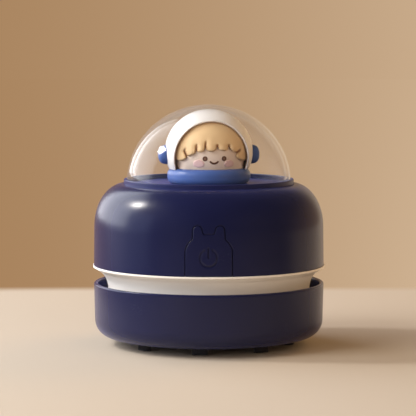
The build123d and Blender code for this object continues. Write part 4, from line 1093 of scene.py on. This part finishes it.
# the patch of paper on the floor: its middle on x, its scale in front and on the right, and how square it is,
# how far off it passes into the room and ends, and how far off the room's colours are taken to be
PAPER_MIDDLE, PAPER_SQUASH, PAPER_SQUARENESS = 0.02, 0.75, 6
PAPER_PASSES, PAPER_ENDS, ROOM_DISTANCE = 0.154, 0.176, 0.6


class VACUUM_OT_stage(bpy.types.Operator):
    """Sets up the floor, the backdrop, the lamps and the camera"""

    bl_idname = "vacuum.stage"
    bl_label = "Set Stage"

    def execute(self, context):
        settings = context.scene.vacuum_stage
        scene = context.scene
        scene.view_settings.view_transform = "Standard"
        stage_floor(settings)
        scene.world = room_world(settings)
        for name, place, target, size, source, share, colour, mirrored in LAMPS:
            add_lamp(name, place, target, size, getattr(settings, source) * share, colour, mirrored)
        camera = bpy.data.objects.new("view_camera", bpy.data.cameras.new("view_camera"))
        camera.data.lens = settings.focal_length
        camera.data.sensor_width = 36
        camera.data.clip_start = 0.05
        camera.data.clip_end = 20
        camera.location = CAMERA_PLACE
        camera.rotation_euler = aimed(CAMERA_PLACE, CAMERA_TARGET)
        scene.collection.objects.link(camera)
        scene.camera = camera
        return {"FINISHED"}


def aimed(place, target):
    """The rotation that points a camera or lamp at a target."""
    return (Vector(target) - Vector(place)).to_track_quat("-Z", "Y").to_euler()


def add_lamp(name, place, target, size, power, colour, mirrored):
    """An area lamp: round where one size is given, and else oblong."""
    lamp = bpy.data.lights.new(name, "AREA")
    lamp.shape = "RECTANGLE" if len(size) == 2 else "DISK"
    lamp.size, lamp.size_y = size[0], size[-1]
    lamp.energy = power
    lamp.color = colour
    holder = bpy.data.objects.new(name, lamp)
    holder.location = place
    holder.rotation_euler = aimed(place, target)
    holder.visible_camera = False
    holder.visible_glossy = mirrored
    bpy.context.scene.collection.objects.link(holder)


def room_colours(finish, settings, right, behind, lowness=1):
    """The room's colours by how far right and behind they are, each from -1 to 1, and how near the floor.

    The backdrop is behind the object, with a sunlit stretch on its right, and the rest of the room is dimmer.
    """
    backdrop = finish.ramp(behind, low=-0.3, high=0.6) * lowness
    sunny = finish.ramp(right, low=-0.15, high=0.4) - finish.ramp(right, low=0.3, high=0.7) * 0.95
    sunny = sunny * finish.ramp(behind, low=-0.35, high=0.1) * lowness
    colour = finish.blend(backdrop, tuple(settings.room_colour), tuple(settings.wall_colour))
    return finish.blend(sunny, colour, tuple(settings.sunny_colour))


def room_world(settings):
    """The room far around the object."""
    finish = Finish("soft_room", "worlds")
    direction = finish.place("Generated")
    right, behind, up = [finish.part(direction, axis) for axis in "XYZ"]
    lowness = 1 - finish.ramp(up, low=0.05, high=0.6)
    colour = room_colours(finish, settings, right, behind, lowness)
    return finish.end(finish.node("Background", {}, {"Color": colour}), "OutputWorld")


def stage_floor(settings):
    """A round floor: pale paper around the object, which passes into the room's colours."""
    points, faces = [Vector()], []
    for ring, radius in enumerate(FLOOR_RINGS):
        start = len(points)
        points += circle(FLOOR_SIDES, radius)
        for side in range(FLOOR_SIDES):
            here, after = start + side, start + (side + 1) % FLOOR_SIDES
            if ring:
                faces.append((here - FLOOR_SIDES, here, after, after - FLOOR_SIDES))
            else:
                faces.append((0, here, after))
    mesh = bpy.data.meshes.new("studio_floor")
    mesh.from_pydata(points, [], faces)
    mesh.update()
    mesh.materials.append(paper_and_room(settings))
    floor = bpy.data.objects.new("studio_floor", mesh)
    bpy.context.scene.collection.objects.link(floor)
    return floor


def paper_and_room(settings):
    """The floor's material: grained paper near the object, and the room's plain colours beyond it."""
    finish = Finish("studio_paper")
    place = finish.place()
    x, y = finish.part(place, "X"), finish.part(place, "Y")
    right = x - PAPER_MIDDLE
    right, front = right.least(right * PAPER_SQUASH), y.most(y * PAPER_SQUASH)
    away = (right**PAPER_SQUARENESS + front**PAPER_SQUARENESS) ** (1 / PAPER_SQUARENESS)
    beyond = finish.ramp(away, low=PAPER_PASSES, high=PAPER_ENDS)
    grain = finish.noise(place, scale=600, detail=4)
    roughness = finish.around(0.8, grain, spread=0.1)
    normal = finish.relief(grain, depth=0.00005)
    paper = finish.layer(tuple(settings.floor_colour), roughness, normal, ior=1.5)
    colour = room_colours(finish, settings, x / (away + ROOM_DISTANCE), y / away)
    room = finish.node("Emission", {}, {"Color": colour})
    return finish.end(finish.node("MixShader", {}, {0: beyond, 1: paper, 2: room}))


class VACUUM_PT_dresser(bpy.types.Panel):
    """Lists the steps and their settings"""

    bl_idname = "VACUUM_PT_dresser"
    bl_label = "Desktop Vacuum"
    bl_space_type = "VIEW_3D"
    bl_region_type = "UI"
    bl_category = "Vacuum"

    def draw(self, context):
        for name, _ in GROUPS:
            box = self.layout.box()
            group = getattr(context.scene, name)
            for setting in group.__annotations__:
                box.prop(group, setting)
        for operator in STEPS:
            self.layout.operator(operator.bl_idname)


GROUPS = (
    ("vacuum_shell", ShellSettings),
    ("vacuum_dome", DomeSettings),
    ("vacuum_figure", FigureSettings),
    ("vacuum_brush", BrushSettings),
    ("vacuum_stage", StageSettings),
)
STEPS = (
    VACUUM_OT_stage,
    VACUUM_OT_shells,
    VACUUM_OT_works,
    VACUUM_OT_dome,
    VACUUM_OT_helmet,
    VACUUM_OT_collar,
    VACUUM_OT_hair,
    VACUUM_OT_face,
    VACUUM_OT_bristles,
)


def register():
    for name, group in GROUPS:
        bpy.utils.register_class(group)
        setattr(bpy.types.Scene, name, bpy.props.PointerProperty(type=group))
    for step in STEPS:
        bpy.utils.register_class(step)
    bpy.utils.register_class(VACUUM_PT_dresser)


def unregister():
    bpy.utils.unregister_class(VACUUM_PT_dresser)
    for step in reversed(STEPS):
        bpy.utils.unregister_class(step)
    for name, group in reversed(GROUPS):
        delattr(bpy.types.Scene, name)
        bpy.utils.unregister_class(group)


def main():
    """Runs every step in order."""
    register()
    bpy.ops.vacuum.stage()
    bpy.ops.vacuum.shells()
    bpy.ops.vacuum.works()
    bpy.ops.vacuum.dome()
    bpy.ops.vacuum.helmet()
    bpy.ops.vacuum.collar()
    bpy.ops.vacuum.hair()
    bpy.ops.vacuum.face()
    bpy.ops.vacuum.bristles()


if __name__ == "__main__":
    main()
